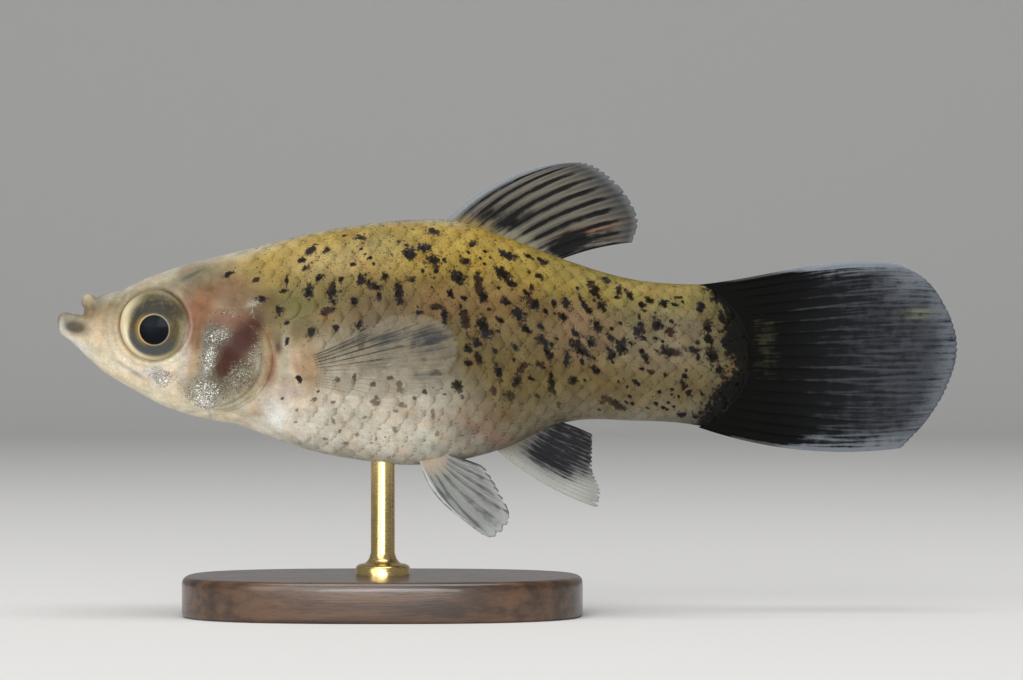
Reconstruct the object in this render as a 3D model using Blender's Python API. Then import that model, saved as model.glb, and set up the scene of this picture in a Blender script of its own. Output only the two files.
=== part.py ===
"""A southern platyfish at life size, as a still model that swims on a small display stand.

Sizes are in millimetres. A place on the fish is given by its distance back from the tip of the
lower jaw, its distance across from the middle plane and its height above the body's axis.
place() sets it on the stand: +X towards the tail, +Z up, and the fish's left side on -Y. The
origin is the middle of the stand's underside. The finished meshes are turned into metres.
"""

import math

import bmesh
import bpy
import numpy as np
from mathutils import Matrix, Vector

MM = 0.001
TOTAL_LENGTH = 56.2
GAP = 0.3

# The stand, and how the fish sits on it
BASE_LENGTH = 25.0
BASE_WIDTH = 17.0
BASE_THICKNESS = 2.5
BASE_EDGE = 0.5
BASE_SIDES = 48
BASE_SQUARENESS = 2.6
ROD_DIAMETER = 1.5
ROD_SIDES = 20
ROD_TOP_BELOW_AXIS = 5.0
COLLAR_DIAMETER = 3.4
COLLAR_HEIGHT = 0.7
COLLAR_SLOPE = 0.4
AXIS_HEIGHT = 17.2
SNOUT_TO_ROD = 20.3

# Trunk and head: distance back, height of the back, height of the belly, half width
BODY = (
    (1.9, 2.3, -0.9, 1.25),
    (2.6, 2.75, -1.75, 1.7),
    (3.9, 3.1, -2.6, 2.2),
    (5.1, 3.68, -3.3, 2.6),
    (6.4, 4.18, -4.0, 2.9),
    (8.9, 4.95, -4.85, 3.3),
    (11.4, 5.55, -5.35, 3.6),
    (13.9, 6.2, -6.3, 3.85),
    (16.4, 6.8, -7.05, 4.0),
    (18.9, 7.2, -7.5, 4.0),
    (22.0, 7.5, -7.8, 3.85),
    (24.5, 7.5, -7.6, 3.55),
    (27.6, 6.55, -6.85, 3.05),
    (31.4, 5.1, -5.2, 2.45),
    (36.4, 3.7, -5.05, 1.8),
    (38.6, 3.5, -5.15, 1.5),
    (41.0, 3.5, -5.5, 1.15),
    (43.9, 4.0, -5.95, 0.7),
)
BODY_SIDES = 28
LEAST_HALF_WIDTH = 0.1
RING_STEP_HEAD = 0.7
RING_STEP_TRUNK = 1.05
HEAD_END = 13.0
# Far enough to either side, or up and down, to pass right through the fish
BEYOND = 12.0

# Distance back, then the level where a cross-section is widest
WIDEST_LEVEL = ((0.0, 0.3), (12.0, -0.5), (20.0, -1.1), (32.0, -0.6), (44.0, -0.8))
# Distance back, then how square the upper half of a cross-section is, where 2 is an ellipse
BACK_SQUARENESS = ((2.0, 2.7), (8.0, 2.5), (15.0, 2.1), (26.0, 1.9), (44.0, 2.1))
BELLY_SQUARENESS = 2.1

# Lower jaw: distance back, height of its rim, height of the chin, half width
JAW = (
    (0.0, 1.4, 0.9, 0.35),
    (0.12, 1.65, 0.5, 0.72),
    (0.4, 1.8, 0.25, 0.98),
    (0.9, 1.72, -0.15, 1.2),
    (1.6, 1.6, -0.85, 1.42),
    (2.6, 1.3, -1.75, 1.76),
    (3.5, 0.9, -2.4, 2.05),
)
JAW_STATIONS = (0.0, 0.12, 0.35, 0.65, 0.95, 1.25, 1.6, 2.0, 2.5, 3.0, 3.5)
JAW_SIDES = 20
JAW_WIDEST = 0.62
JAW_HINGE_TOP = (1.8, 1.9)
JAW_HINGE_FOOT = (3.2, -2.6)
JAW_BOWL_PLACE = (1.35, 0.0, 1.95)
JAW_BOWL_RADII = (1.05, 0.82, 0.8)

# Upper jaw: a band bent round the snout
LIP_FRONT = 1.88
LIP_REACH_BACK = 1.0
LIP_HALF_WIDTH = 1.22
LIP_HEIGHT = 2.42
LIP_DROP = 0.75
LIP_THICKNESS = 0.38
LIP_DEPTH = 0.5
LIP_TAPER = 0.35
LIP_TURN = math.radians(98)
LIP_STATIONS = 15
LIP_SIDES = 10

# Eyes
EYE_BACK = 6.25
EYE_HEIGHT = 0.9
EYE_ACROSS = 1.95
EYE_RADIUS = 2.05
EYE_BULGE = 1.35
EYE_SIDES = 24
EYE_RINGS = 12
ORBIT_RADIUS = 2.65
ORBIT_ACROSS = 1.62
ORBIT_BULGE = 1.36

# Nostrils: distance back, distance across, height
NOSTRILS = ((3.35, 1.72, 2.2), (4.15, 1.9, 2.62))
NOSTRIL_RADIUS = 0.26
NOSTRIL_DEPTH = 0.36

# Gill covers: the outline's corners, and how far its faces lie from the skin
COVER_FRONT = 8.35
COVER_TOP = 2.3
COVER_FOOT = -4.55
COVER_REAR = 13.5
COVER_FLAT_FRONT = 0.82
COVER_CORNER = 1.2
COVER_STEPS = 17
COVER_INNER_EDGE = 1.2
COVER_PROUD = 0.18
COVER_DEPTH = 0.75

# Seams between the lengths of the body
GILL_ARC_REAR = 13.95
GILL_ARC_RADIUS = 7.2
GILL_ARC_LEVEL = -0.3
WAIST_SEAM = 24.1
STALK_SEAM = 32.2
TAIL_ARC_REAR = 43.3
TAIL_ARC_RADIUS = 4.9
TAIL_ARC_LEVEL = -1.0
TAIL_ARC_SPREAD = math.radians(66)

# All fins: half the thickness of membrane, ray and margin, how deep a root starts inside the body,
# and how far the membrane reaches beside a ray's tip
MEMBRANE = 0.25
RAY = 0.4
FIN_TIP = 0.16
ROOT_INSIDE = 0.8
MEMBRANE_REACH = 0.97
FORK_BLEND = 0.24

# Dorsal fin: its margin from the first ray's tip to the last, as (distance back, height)
DORSAL_EDGE = ((31.2, 11.05), (33.2, 11.0), (34.6, 10.1), (35.7, 8.8), (36.25, 7.4), (35.9, 6.1))
DORSAL_ROOT = (23.6, 30.5)
DORSAL_BOW = (0.8, 0.25)
DORSAL_SWAY = 0.25
DORSAL_RAYS = 9

# Anal fin
ANAL_EDGE = ((33.75, -10.5), (33.9, -9.5), (33.4, -8.1), (33.4, -6.9), (33.4, -5.9))
ANAL_ROOT = (26.8, 30.3)
ANAL_BOW = (-0.45, 0.1)
ANAL_SWAY = 0.2
ANAL_RAYS = 8

# Tail fin
TAIL_EDGE = (
    (52.7, 4.72),
    (54.2, 3.85),
    (55.5, 2.1),
    (TOTAL_LENGTH, -0.2),
    (55.5, -3.0),
    (54.2, -5.1),
    (52.7, -6.75),
)
TAIL_BOW_ABOVE = 0.5
TAIL_BOW_BELOW = 0.75
TAIL_SWAY = 0.35
TAIL_RAYS = 16

# Pelvic fins, which splay out to their own side
PELVIC_EDGE = ((25.4, -11.1), (27.25, -12.25), (28.2, -11.2), (27.55, -9.5), (26.6, -7.95))
PELVIC_ROOT = (22.5, 23.8)
PELVIC_BOW = (-0.6, 0.0)
PELVIC_ACROSS = 0.95
PELVIC_SPLAY = 1.1
PELVIC_TURN = 0.25
PELVIC_RAYS = 6

# Pectoral fins: the margin as (distance back, distance across, height), the ends of the root, and
# how a ray sets out from it
PECTORAL_EDGE = (
    (21.0, 5.3, 1.55),
    (23.6, 5.6, 1.35),
    (25.0, 5.6, 0.2),
    (24.7, 5.4, -1.7),
    (22.6, 5.0, -3.2),
    (19.6, 4.6, -3.75),
)
PECTORAL_ROOT_TOP = (15.35, 3.3, -1.05)
PECTORAL_ROOT_FOOT = (15.7, 3.3, -2.8)
PECTORAL_SET_OUT = (1.0, 1.55, 0.0)
PECTORAL_RAYS = 11


def place(back, across, height):
    """A point of the fish on the stand."""
    return Vector((back - SNOUT_TO_ROD, across, height + AXIS_HEIGHT))


def clear_scene():
    for thing in list(bpy.data.objects):
        bpy.data.objects.remove(thing, do_unlink=True)


def material(name, colour, roughness, metallic=0.0):
    made = bpy.data.materials.new(name)
    made.use_nodes = True
    surface = made.node_tree.nodes["Principled BSDF"]
    surface.inputs["Base Color"].default_value = (*colour, 1.0)
    surface.inputs["Roughness"].default_value = roughness
    surface.inputs["Metallic"].default_value = metallic
    made.diffuse_color = (*colour, 1.0)
    return made


def solid(name, points, faces, finish=None):
    """A closed mesh object whose faces point out."""
    mesh = bpy.data.meshes.new(name)
    mesh.from_pydata(points, [], faces)
    shape = bmesh.new()
    shape.from_mesh(mesh)
    bmesh.ops.recalc_face_normals(shape, faces=shape.faces)
    shape.to_mesh(mesh)
    shape.free()
    made = bpy.data.objects.new(name, mesh)
    bpy.context.scene.collection.objects.link(made)
    if finish:
        mesh.materials.append(finish)
    return made


def boolean(target, tool, operation):
    """Cuts target with tool, joins them or keeps what they share, and removes the tool."""
    step = target.modifiers.new("shape", "BOOLEAN")
    step.operation = operation
    step.solver = "EXACT"
    step.object = tool
    bpy.context.view_layer.objects.active = target
    bpy.ops.object.modifier_apply(modifier=step.name)
    bpy.data.objects.remove(tool, do_unlink=True)
    return target


def keep_largest(target):
    """Keeps the largest closed surface of a mesh and drops loose scraps."""
    shape = bmesh.new()
    shape.from_mesh(target.data)
    left = set(shape.faces)
    islands = []
    while left:
        island, edge_of_island = set(), [left.pop()]
        while edge_of_island:
            face = edge_of_island.pop()
            island.add(face)
            for edge in face.edges:
                for other in edge.link_faces:
                    if other in left:
                        left.discard(other)
                        edge_of_island.append(other)
        islands.append(island)
    largest = max(islands, key=lambda island: sum(face.calc_area() for face in island))
    scraps = [face for island in islands if island is not largest for face in island]
    bmesh.ops.delete(shape, geom=scraps, context="FACES")
    shape.to_mesh(target.data)
    shape.free()
    return target


def curve_through(table, at, column):
    """A smooth curve through one column of a table, read at a distance back."""
    xs = np.array([row[0] for row in table])
    ys = np.array([row[column] for row in table])
    steps = np.diff(xs)
    rises = np.diff(ys) / steps
    slopes = np.empty(len(xs))
    slopes[1:-1] = (rises[:-1] * steps[1:] + rises[1:] * steps[:-1]) / (steps[1:] + steps[:-1])
    slopes[0], slopes[-1] = rises[0], rises[-1]
    at = min(max(at, xs[0]), xs[-1])
    k = min(int(np.searchsorted(xs, at, side="right")) - 1, len(steps) - 1)
    t = (at - xs[k]) / steps[k]
    start = (1 + 2 * t) * (1 - t) ** 2 * ys[k] + t * (1 - t) ** 2 * steps[k] * slopes[k]
    end = t * t * (3 - 2 * t) * ys[k + 1] + t * t * (t - 1) * steps[k] * slopes[k + 1]
    return float(start + end)


def straight_through(table, at):
    return float(np.interp(at, [row[0] for row in table], [row[1] for row in table]))


def rounded(share, half, power):
    """One coordinate of a rounded outline, from the cosine or sine of its turn and its half size."""
    return half * math.copysign(abs(share) ** (2 / power), share)


def section(back, top, foot, half_width, level, sides=BODY_SIDES):
    """A ring of points across the body: widest at its level, squarer above than below."""
    ring = []
    upper = straight_through(BACK_SQUARENESS, back)
    for k in range(sides):
        turn = 2 * math.pi * k / sides
        power = upper if math.sin(turn) > 0 else BELLY_SQUARENESS
        reach = top - level if math.sin(turn) > 0 else level - foot
        across = rounded(math.cos(turn), half_width, power)
        height = level + rounded(math.sin(turn), reach, power)
        ring.append(place(back, across, height))
    return ring


def loft(name, rings, finish=None):
    """A solid through rings of equal count, closed by a flat end at each side."""
    count = len(rings[0])
    points = [point for ring in rings for point in ring]
    faces = [tuple(range(count)), tuple(range(len(points) - count, len(points)))]
    for row in range(len(rings) - 1):
        for k in range(count):
            a, b = row * count + k, row * count + (k + 1) % count
            faces.append((a, b, b + count, a + count))
    return solid(name, points, faces, finish)


def body_ring(back, grown=0.0):
    top = curve_through(BODY, back, 1) + grown
    foot = curve_through(BODY, back, 2) - grown
    half_width = max(curve_through(BODY, back, 3) + grown, LEAST_HALF_WIDTH)
    return section(back, top, foot, half_width, straight_through(WIDEST_LEVEL, back))


def body(name, grown=0.0, finish=None):
    """The whole body without jaws and fins, made larger or smaller all round by grown."""
    first, last = BODY[0][0], BODY[-1][0]
    stations = list(np.arange(first, HEAD_END, RING_STEP_HEAD))
    stations += list(np.linspace(HEAD_END, last, round((last - HEAD_END) / RING_STEP_TRUNK) + 1))
    return loft(name, [body_ring(back, grown) for back in stations], finish)


def slab(name, outline, near=-BEYOND, far=BEYOND):
    """A prism across the fish over an outline of (distance back, height)."""
    count = len(outline)
    points = [place(s, near, h) for s, h in outline] + [place(s, far, h) for s, h in outline]
    faces = [tuple(range(count)), tuple(range(count, 2 * count))]
    faces += [(k, (k + 1) % count, (k + 1) % count + count, k + count) for k in range(count)]
    return solid(name, points, faces)


def arc(rear, radius, level, spread, steps):
    """Points of an arc that bulges towards the tail, from its top end to its foot."""
    turns = np.linspace(spread, -spread, steps)
    centre = rear - radius
    return [(centre + radius * math.cos(t), level + radius * math.sin(t)) for t in turns]


def head_region(grown=0.0):
    """What lies in front of the gill opening."""
    edge = arc(GILL_ARC_REAR + grown, GILL_ARC_RADIUS + grown, GILL_ARC_LEVEL, math.pi / 2, 29)
    return slab("head_region", [(-BEYOND, edge[0][1]), *edge, (-BEYOND, edge[-1][1])])


def tail_region(grown=0.0):
    """What lies in front of the rounded root of the tail fin."""
    edge = arc(TAIL_ARC_REAR + grown, TAIL_ARC_RADIUS + grown, TAIL_ARC_LEVEL, math.radians(88), 21)
    outline = [(0.0, BEYOND), (edge[0][0], BEYOND), *edge, (edge[-1][0], -BEYOND), (0.0, -BEYOND)]
    return slab("tail_region", outline)


def band_between(start, end):
    """What lies between two distances back."""
    return slab("band", [(start, -BEYOND), (end, -BEYOND), (end, BEYOND), (start, BEYOND)])


def ellipsoid(name, centre, radii, across=16, rings=10, finish=None):
    """A ball stretched along the three axes, with its poles towards the fish's sides."""
    rows = []
    for i in range(1, rings):
        tilt = math.pi * i / rings
        row = []
        for k in range(across):
            turn = 2 * math.pi * k / across
            row.append(
                place(
                    centre[0] + radii[0] * math.sin(tilt) * math.cos(turn),
                    centre[1] + radii[1] * math.cos(tilt),
                    centre[2] + radii[2] * math.sin(tilt) * math.sin(turn),
                )
            )
        rows.append(row)
    points = [point for row in rows for point in row]
    near, far = len(points), len(points) + 1
    points += [place(centre[0], centre[1] + radii[1], centre[2])]
    points += [place(centre[0], centre[1] - radii[1], centre[2])]
    faces = []
    last = (rings - 2) * across
    for k in range(across):
        after = (k + 1) % across
        faces.append((near, k, after))
        faces.append((far, last + after, last + k))
        for i in range(rings - 2):
            a, b = i * across + k, i * across + after
            faces.append((a, a + across, b + across, b))
    return solid(name, points, faces, finish)


def lip_band(name, grown=0.0, finish=None):
    """The upper jaw: an oval section swept round the snout, lower at the corners of the mouth."""
    rings = []
    for turn in np.linspace(-LIP_TURN, LIP_TURN, LIP_STATIONS):
        back = LIP_FRONT + LIP_REACH_BACK * (1 - math.cos(turn))
        across = LIP_HALF_WIDTH * math.sin(turn)
        height = LIP_HEIGHT - LIP_DROP * (1 - math.cos(turn)) ** 1.5
        taper = 1 - LIP_TAPER * (turn / LIP_TURN) ** 2
        ring = []
        for k in range(LIP_SIDES):
            spin = 2 * math.pi * k / LIP_SIDES
            out = (LIP_THICKNESS * taper + grown) * math.cos(spin)
            up = (LIP_DEPTH * taper + grown) * math.sin(spin)
            ring.append(place(back - out * math.cos(turn), across + out * math.sin(turn), height + up))
        rings.append(ring)
    return loft(name, rings, finish)


def jaw_region(grown=0.0):
    """What lies in front of the slanted hinge line of the lower jaw."""
    (s0, h0), (s1, h1) = JAW_HINGE_TOP, JAW_HINGE_FOOT
    return slab("jaw_region", [(-BEYOND, h1), (s1 + grown, h1), (s0 + grown, h0), (-BEYOND, h0)])


def lower_jaw(finish):
    """A scoop with a raised rim that juts out past the upper jaw."""
    rings = []
    for back in JAW_STATIONS:
        top = curve_through(JAW, back, 1)
        foot = curve_through(JAW, back, 2)
        half_width = curve_through(JAW, back, 3)
        level = foot + JAW_WIDEST * (top - foot)
        rings.append(section(back, top, foot, half_width, level, JAW_SIDES))
    jaw = loft("lower_jaw", rings, finish)
    boolean(jaw, jaw_region(), "INTERSECT")
    boolean(jaw, ellipsoid("bowl", JAW_BOWL_PLACE, JAW_BOWL_RADII, 14, 8), "DIFFERENCE")
    boolean(jaw, lip_band("lip_room", GAP), "DIFFERENCE")
    return keep_largest(jaw)


def cover_outline(grown=0.0):
    """The gill cover from the side: straight in front, and a long round edge at the back."""
    middle = (COVER_TOP + COVER_FOOT) / 2
    half_height = (COVER_TOP - COVER_FOOT) / 2 + grown
    length = COVER_REAR - COVER_FRONT - COVER_CORNER + grown
    outline = [(COVER_FRONT - grown, middle + COVER_FLAT_FRONT * half_height)]
    for turn in np.linspace(math.pi / 2, -math.pi / 2, COVER_STEPS):
        s = COVER_FRONT + COVER_CORNER + length * math.cos(turn)
        outline.append((s, middle + half_height * math.sin(turn)))
    outline.append((COVER_FRONT - grown, middle - COVER_FLAT_FRONT * half_height))
    return outline


def gill_cover(name, side, finish):
    """A curved plate over the gills, a little proud of the cheek."""
    near, far = sorted((side * COVER_INNER_EDGE, side * BEYOND))
    cover = body(name, COVER_PROUD, finish)
    boolean(cover, slab("outline", cover_outline(), near, far), "INTERSECT")
    boolean(cover, body("inside", -COVER_DEPTH), "DIFFERENCE")
    return keep_largest(cover)


def cover_pocket(side):
    """The room that a gill cover takes in the head."""
    near, far = sorted((side * (COVER_INNER_EDGE - GAP), side * BEYOND))
    pocket = slab("pocket", cover_outline(GAP), near, far)
    return boolean(pocket, body("inside", -COVER_DEPTH - GAP), "DIFFERENCE")


def eye_ball(name, side, grown=0.0, finish=None):
    radius = EYE_RADIUS + grown
    centre = (EYE_BACK, side * EYE_ACROSS, EYE_HEIGHT)
    return ellipsoid(name, centre, (radius, EYE_BULGE + grown, radius), EYE_SIDES, EYE_RINGS, finish)


def orbit_mound(side):
    """The raised skin round an eye."""
    centre = (EYE_BACK, side * ORBIT_ACROSS, EYE_HEIGHT)
    return ellipsoid("orbit", centre, (ORBIT_RADIUS, ORBIT_BULGE, ORBIT_RADIUS), EYE_SIDES, EYE_RINGS)


def head(finish):
    skull = body("head", 0.0, finish)
    boolean(skull, head_region(), "INTERSECT")
    for side in (-1, 1):
        boolean(skull, orbit_mound(side), "UNION")
    for side in (-1, 1):
        boolean(skull, eye_ball("socket", side, GAP), "DIFFERENCE")
        boolean(skull, cover_pocket(side), "DIFFERENCE")
        for back, across, height in NOSTRILS:
            radii = (NOSTRIL_RADIUS, NOSTRIL_DEPTH, NOSTRIL_RADIUS)
            pit = ellipsoid("nostril", (back, side * across, height), radii, 8, 6)
            boolean(skull, pit, "DIFFERENCE")
    boolean(skull, jaw_region(GAP), "DIFFERENCE")
    boolean(skull, lip_band("lip_room", GAP), "DIFFERENCE")
    return keep_largest(skull)


def torso_front(finish):
    torso = body("torso_front", 0.0, finish)
    boolean(torso, band_between(0.0, WAIST_SEAM - GAP / 2), "INTERSECT")
    boolean(torso, head_region(GAP), "DIFFERENCE")
    return keep_largest(torso)


def torso_rear(finish):
    torso = body("torso_rear", 0.0, finish)
    return boolean(torso, band_between(WAIST_SEAM + GAP / 2, STALK_SEAM - GAP / 2), "INTERSECT")


def tail_stalk(finish):
    stalk = body("tail_stalk", 0.0, finish)
    boolean(stalk, band_between(STALK_SEAM + GAP / 2, TOTAL_LENGTH), "INTERSECT")
    boolean(stalk, tail_region(), "INTERSECT")
    return keep_largest(stalk)


def along(points, share):
    """A point of a smooth curve through a few points, by its share of the way."""
    steps = [math.dist(a, b) for a, b in zip(points, points[1:])]
    reached = np.concatenate([[0.0], np.cumsum(steps)]) / sum(steps)
    table = [(reached[k], *points[k]) for k in range(len(points))]
    return [curve_through(table, share, column + 1) for column in range(len(points[0]))]


def ray_columns(rays, branched):
    """Each column of a fin as its share across, how it is thickened near the root and near the edge,
    and how far it reaches. A branched ray is one ridge at the root and two at the edge."""
    between = (MEMBRANE, MEMBRANE, MEMBRANE_REACH)
    single = (RAY, RAY, 1.0)
    branch = (MEMBRANE, RAY, 1.0)
    stem = (RAY, MEMBRANE, (1 + MEMBRANE_REACH) / 2)
    kinds = (between, branch, stem, branch) if branched else (between, single)
    count = len(kinds) * rays
    return [(k / count, *kinds[k % len(kinds)]) for k in range(count + 1)]


def fin(name, ray_line, rays, rows, finish, branched=True, fork=0.5):
    """A closed blade whose rays are ridges in both faces. ray_line(across, along) gives a point of its
    middle surface as (distance back, across, height). Both faces are split into triangles alike."""
    columns = ray_columns(rays, branched)
    last = len(columns) - 1
    middle = np.array(
        [[ray_line(share, reach * i / rows) for i in range(rows + 1)] for share, _, _, reach in columns]
    )
    across_step = np.gradient(middle, axis=0)
    along_step = np.gradient(middle, axis=1)
    normal = np.cross(along_step, across_step)
    normal /= np.linalg.norm(normal, axis=2, keepdims=True)
    half = np.empty(middle.shape[:2])
    for j, (_, near, far, _) in enumerate(columns):
        for i in range(rows + 1):
            past_fork = (i / rows - fork) / FORK_BLEND + 0.5
            blend = min(max(past_fork, 0.0), 1.0)
            half[j, i] = near + (far - near) * blend
    half[:, rows] = FIN_TIP
    points = []
    for face in (1, -1):
        points += [place(*point) for point in (middle + face * normal * half[:, :, None]).reshape(-1, 3)]
    wide, offset = rows + 1, (last + 1) * (rows + 1)
    faces = []
    for j in range(last):
        for i in range(rows):
            a, b = j * wide + i, (j + 1) * wide + i
            for lift in (0, offset):
                faces += [(a + lift, b + lift, b + 1 + lift), (a + lift, b + 1 + lift, a + 1 + lift)]
    border = [j * wide for j in range(last + 1)]
    border += [last * wide + i for i in range(1, rows + 1)]
    border += [j * wide + rows for j in range(last - 1, -1, -1)]
    border += [i for i in range(rows - 1, 0, -1)]
    for k, a in enumerate(border):
        b = border[(k + 1) % len(border)]
        faces += [(a, b, b + offset), (a, b + offset, a + offset)]
    return solid(name, points, faces, finish)


def clear_of_body(blade):
    """Trims a fin's root so that it follows the skin and stands clear of it by the gap."""
    boolean(blade, body("skin_room", GAP), "DIFFERENCE")
    return keep_largest(blade)


def mix(ends, share):
    return ends[0] + (ends[1] - ends[0]) * share


def bowed(root, tip, early, late, share):
    """A point of a ray that bows sideways in the fin's plane, most at its middle or nearer its tip."""
    run = np.array(tip) - np.array(root)
    sideways = np.array([-run[1], run[0]]) / np.linalg.norm(run)
    bow = 4 * early * share * (1 - share) + 6.75 * late * share**2 * (1 - share)
    return np.array(root) + run * share + sideways * bow


def flat_fin(root, inside, profile, edge, bow, sway):
    """The ray line of a fin in the middle plane. Its roots follow the body's back or belly, which is
    a column of BODY, its tips follow the margin, and sway is how far the margin bends to the side."""

    def ray_line(across, share):
        start = mix(root, across)
        level = curve_through(BODY, start, profile) + inside
        s, h = bowed((start, level), along(edge, across), mix(bow, across), 0.0, share)
        return s, sway * math.sin(math.pi * (2.2 * across + 0.4)) * share**2, h

    return ray_line


def dorsal_fin(finish):
    rays = flat_fin(DORSAL_ROOT, -ROOT_INSIDE, 1, DORSAL_EDGE, DORSAL_BOW, DORSAL_SWAY)
    return clear_of_body(fin("dorsal_fin", rays, DORSAL_RAYS, 8, finish))


def anal_fin(finish):
    rays = flat_fin(ANAL_ROOT, ROOT_INSIDE, 2, ANAL_EDGE, ANAL_BOW, ANAL_SWAY)
    return clear_of_body(fin("anal_fin", rays, ANAL_RAYS, 7, finish))


def tail_fin(finish):
    """A broad rounded fan whose root follows the round end of the tail stalk."""
    radius = TAIL_ARC_RADIUS + GAP
    centre = TAIL_ARC_REAR - TAIL_ARC_RADIUS

    def ray_line(across, share):
        above = 1 - 2 * across
        turn = TAIL_ARC_SPREAD * above
        root = (centre + radius * math.cos(turn), TAIL_ARC_LEVEL + radius * math.sin(turn))
        late = TAIL_BOW_ABOVE * max(above, 0.0)
        early = TAIL_BOW_BELOW * min(above, 0.0)
        s, h = bowed(root, along(TAIL_EDGE, across), early, late, share)
        return s, TAIL_SWAY * math.sin(math.pi * (1.8 * across + 0.2)) * share**2, h

    return fin("tail_fin", ray_line, TAIL_RAYS, 9, finish, fork=0.42)


def pelvic_fin(name, side, finish):
    """A small fan under the belly."""

    def ray_line(across, share):
        start = mix(PELVIC_ROOT, across)
        root = (start, curve_through(BODY, start, 2) + ROOT_INSIDE)
        s, h = bowed(root, along(PELVIC_EDGE, across), mix(PELVIC_BOW, across), 0.0, share)
        splay = PELVIC_ACROSS + PELVIC_SPLAY * share + PELVIC_TURN * across
        return s, side * splay, h

    return clear_of_body(fin(name, ray_line, PELVIC_RAYS, 6, finish))


def pectoral_fin(name, side, finish):
    """A fin low on the flank, which stands out at its root and sweeps back beside the body."""

    def ray_line(across, share):
        root = mix((np.array(PECTORAL_ROOT_TOP), np.array(PECTORAL_ROOT_FOOT)), across)
        bend = root + np.array(PECTORAL_SET_OUT)
        tip = np.array(along(PECTORAL_EDGE, across))
        point = (1 - share) ** 2 * root + 2 * share * (1 - share) * bend + share**2 * tip
        return point[0], side * point[1], point[2]

    return clear_of_body(fin(name, ray_line, PECTORAL_RAYS, 8, finish, branched=False))


def oval_ring(inset, level):
    ring = []
    for k in range(BASE_SIDES):
        turn = 2 * math.pi * k / BASE_SIDES
        x = rounded(math.cos(turn), BASE_LENGTH / 2 - inset, BASE_SQUARENESS)
        y = rounded(math.sin(turn), BASE_WIDTH / 2 - inset, BASE_SQUARENESS)
        ring.append(Vector((x, y, level)))
    return ring


def round_ring(radius, level):
    turns = np.linspace(0, 2 * math.pi, ROD_SIDES, endpoint=False)
    return [Vector((radius * math.cos(t), radius * math.sin(t), level)) for t in turns]


def stand(wood, brass):
    """A low oval base with softened edges, and a rod with a collar that holds the belly."""
    top = BASE_THICKNESS
    levels = ((BASE_EDGE, 0.0), (0.0, BASE_EDGE), (0.0, top - BASE_EDGE), (BASE_EDGE, top))
    loft("stand_base", [oval_ring(inset, level) for inset, level in levels], wood)
    foot = BASE_THICKNESS + GAP
    shoulder = foot + COLLAR_HEIGHT
    profile = (
        (COLLAR_DIAMETER / 2, foot),
        (COLLAR_DIAMETER / 2, shoulder - COLLAR_SLOPE / 2),
        (COLLAR_DIAMETER / 2 - COLLAR_SLOPE, shoulder),
        (ROD_DIAMETER / 2, shoulder),
        (ROD_DIAMETER / 2, AXIS_HEIGHT - ROD_TOP_BELOW_AXIS),
    )
    rod = loft("stand_rod", [round_ring(radius, level) for radius, level in profile], brass)
    return clear_of_body(rod)


def build():
    clear_scene()
    flesh = material("flesh", (0.62, 0.52, 0.27), 0.4)
    fins = material("fin_membrane", (0.35, 0.36, 0.36), 0.45)
    dark_fin = material("dark_fin", (0.06, 0.065, 0.07), 0.45)
    eye = material("eye", (0.1, 0.1, 0.11), 0.1)
    silver = material("gill_cover", (0.55, 0.47, 0.42), 0.3, 0.3)
    wood = material("stand_wood", (0.2, 0.12, 0.07), 0.5)
    brass = material("stand_brass", (0.75, 0.6, 0.3), 0.3, 1.0)
    head(flesh)
    lower_jaw(flesh)
    lip_band("upper_jaw", 0.0, flesh)
    torso_front(flesh)
    torso_rear(flesh)
    tail_stalk(flesh)
    dorsal_fin(fins)
    anal_fin(fins)
    tail_fin(dark_fin)
    for word, side in (("left", -1), ("right", 1)):
        eye_ball("eye_" + word, side, 0.0, eye)
        gill_cover("gill_cover_" + word, side, silver)
        pelvic_fin("pelvic_fin_" + word, side, fins)
        pectoral_fin("pectoral_fin_" + word, side, fins)
    stand(wood, brass)
    for thing in bpy.data.objects:
        thing.data.transform(Matrix.Scale(MM, 4))


if __name__ == "__main__":
    build()
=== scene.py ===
"""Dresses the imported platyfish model: skin, scales, gill covers, eyes, fins, stand and studio.

A place on the fish is given in millimetres as (distance back from the tip of the lower jaw, distance
across from the middle plane, height above the body's axis). settle() brings a finished piece into the
frame, in metres. The fish's left side, which the camera sees, is on the negative side across.
"""

import math
from types import SimpleNamespace

import bmesh
import bpy
import numpy as np
from mathutils import Matrix, Vector


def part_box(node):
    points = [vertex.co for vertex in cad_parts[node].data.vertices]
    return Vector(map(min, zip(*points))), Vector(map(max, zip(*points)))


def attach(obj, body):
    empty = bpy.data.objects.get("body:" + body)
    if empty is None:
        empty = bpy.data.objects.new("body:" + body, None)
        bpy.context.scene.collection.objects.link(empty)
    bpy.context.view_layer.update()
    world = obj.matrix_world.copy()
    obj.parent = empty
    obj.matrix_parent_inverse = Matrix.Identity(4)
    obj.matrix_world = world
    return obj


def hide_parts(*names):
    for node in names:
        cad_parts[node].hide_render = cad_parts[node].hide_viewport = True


bl_info = {
    "name": "Platyfish looks",
    "version": (1, 0, 0),
    "blender": (4, 5, 0),
    "location": "View3D > Sidebar > Platyfish",
    "description": "Builds the skin, scales, eyes, fins, stand and studio round the packed fish",
    "category": "Object",
}

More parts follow.
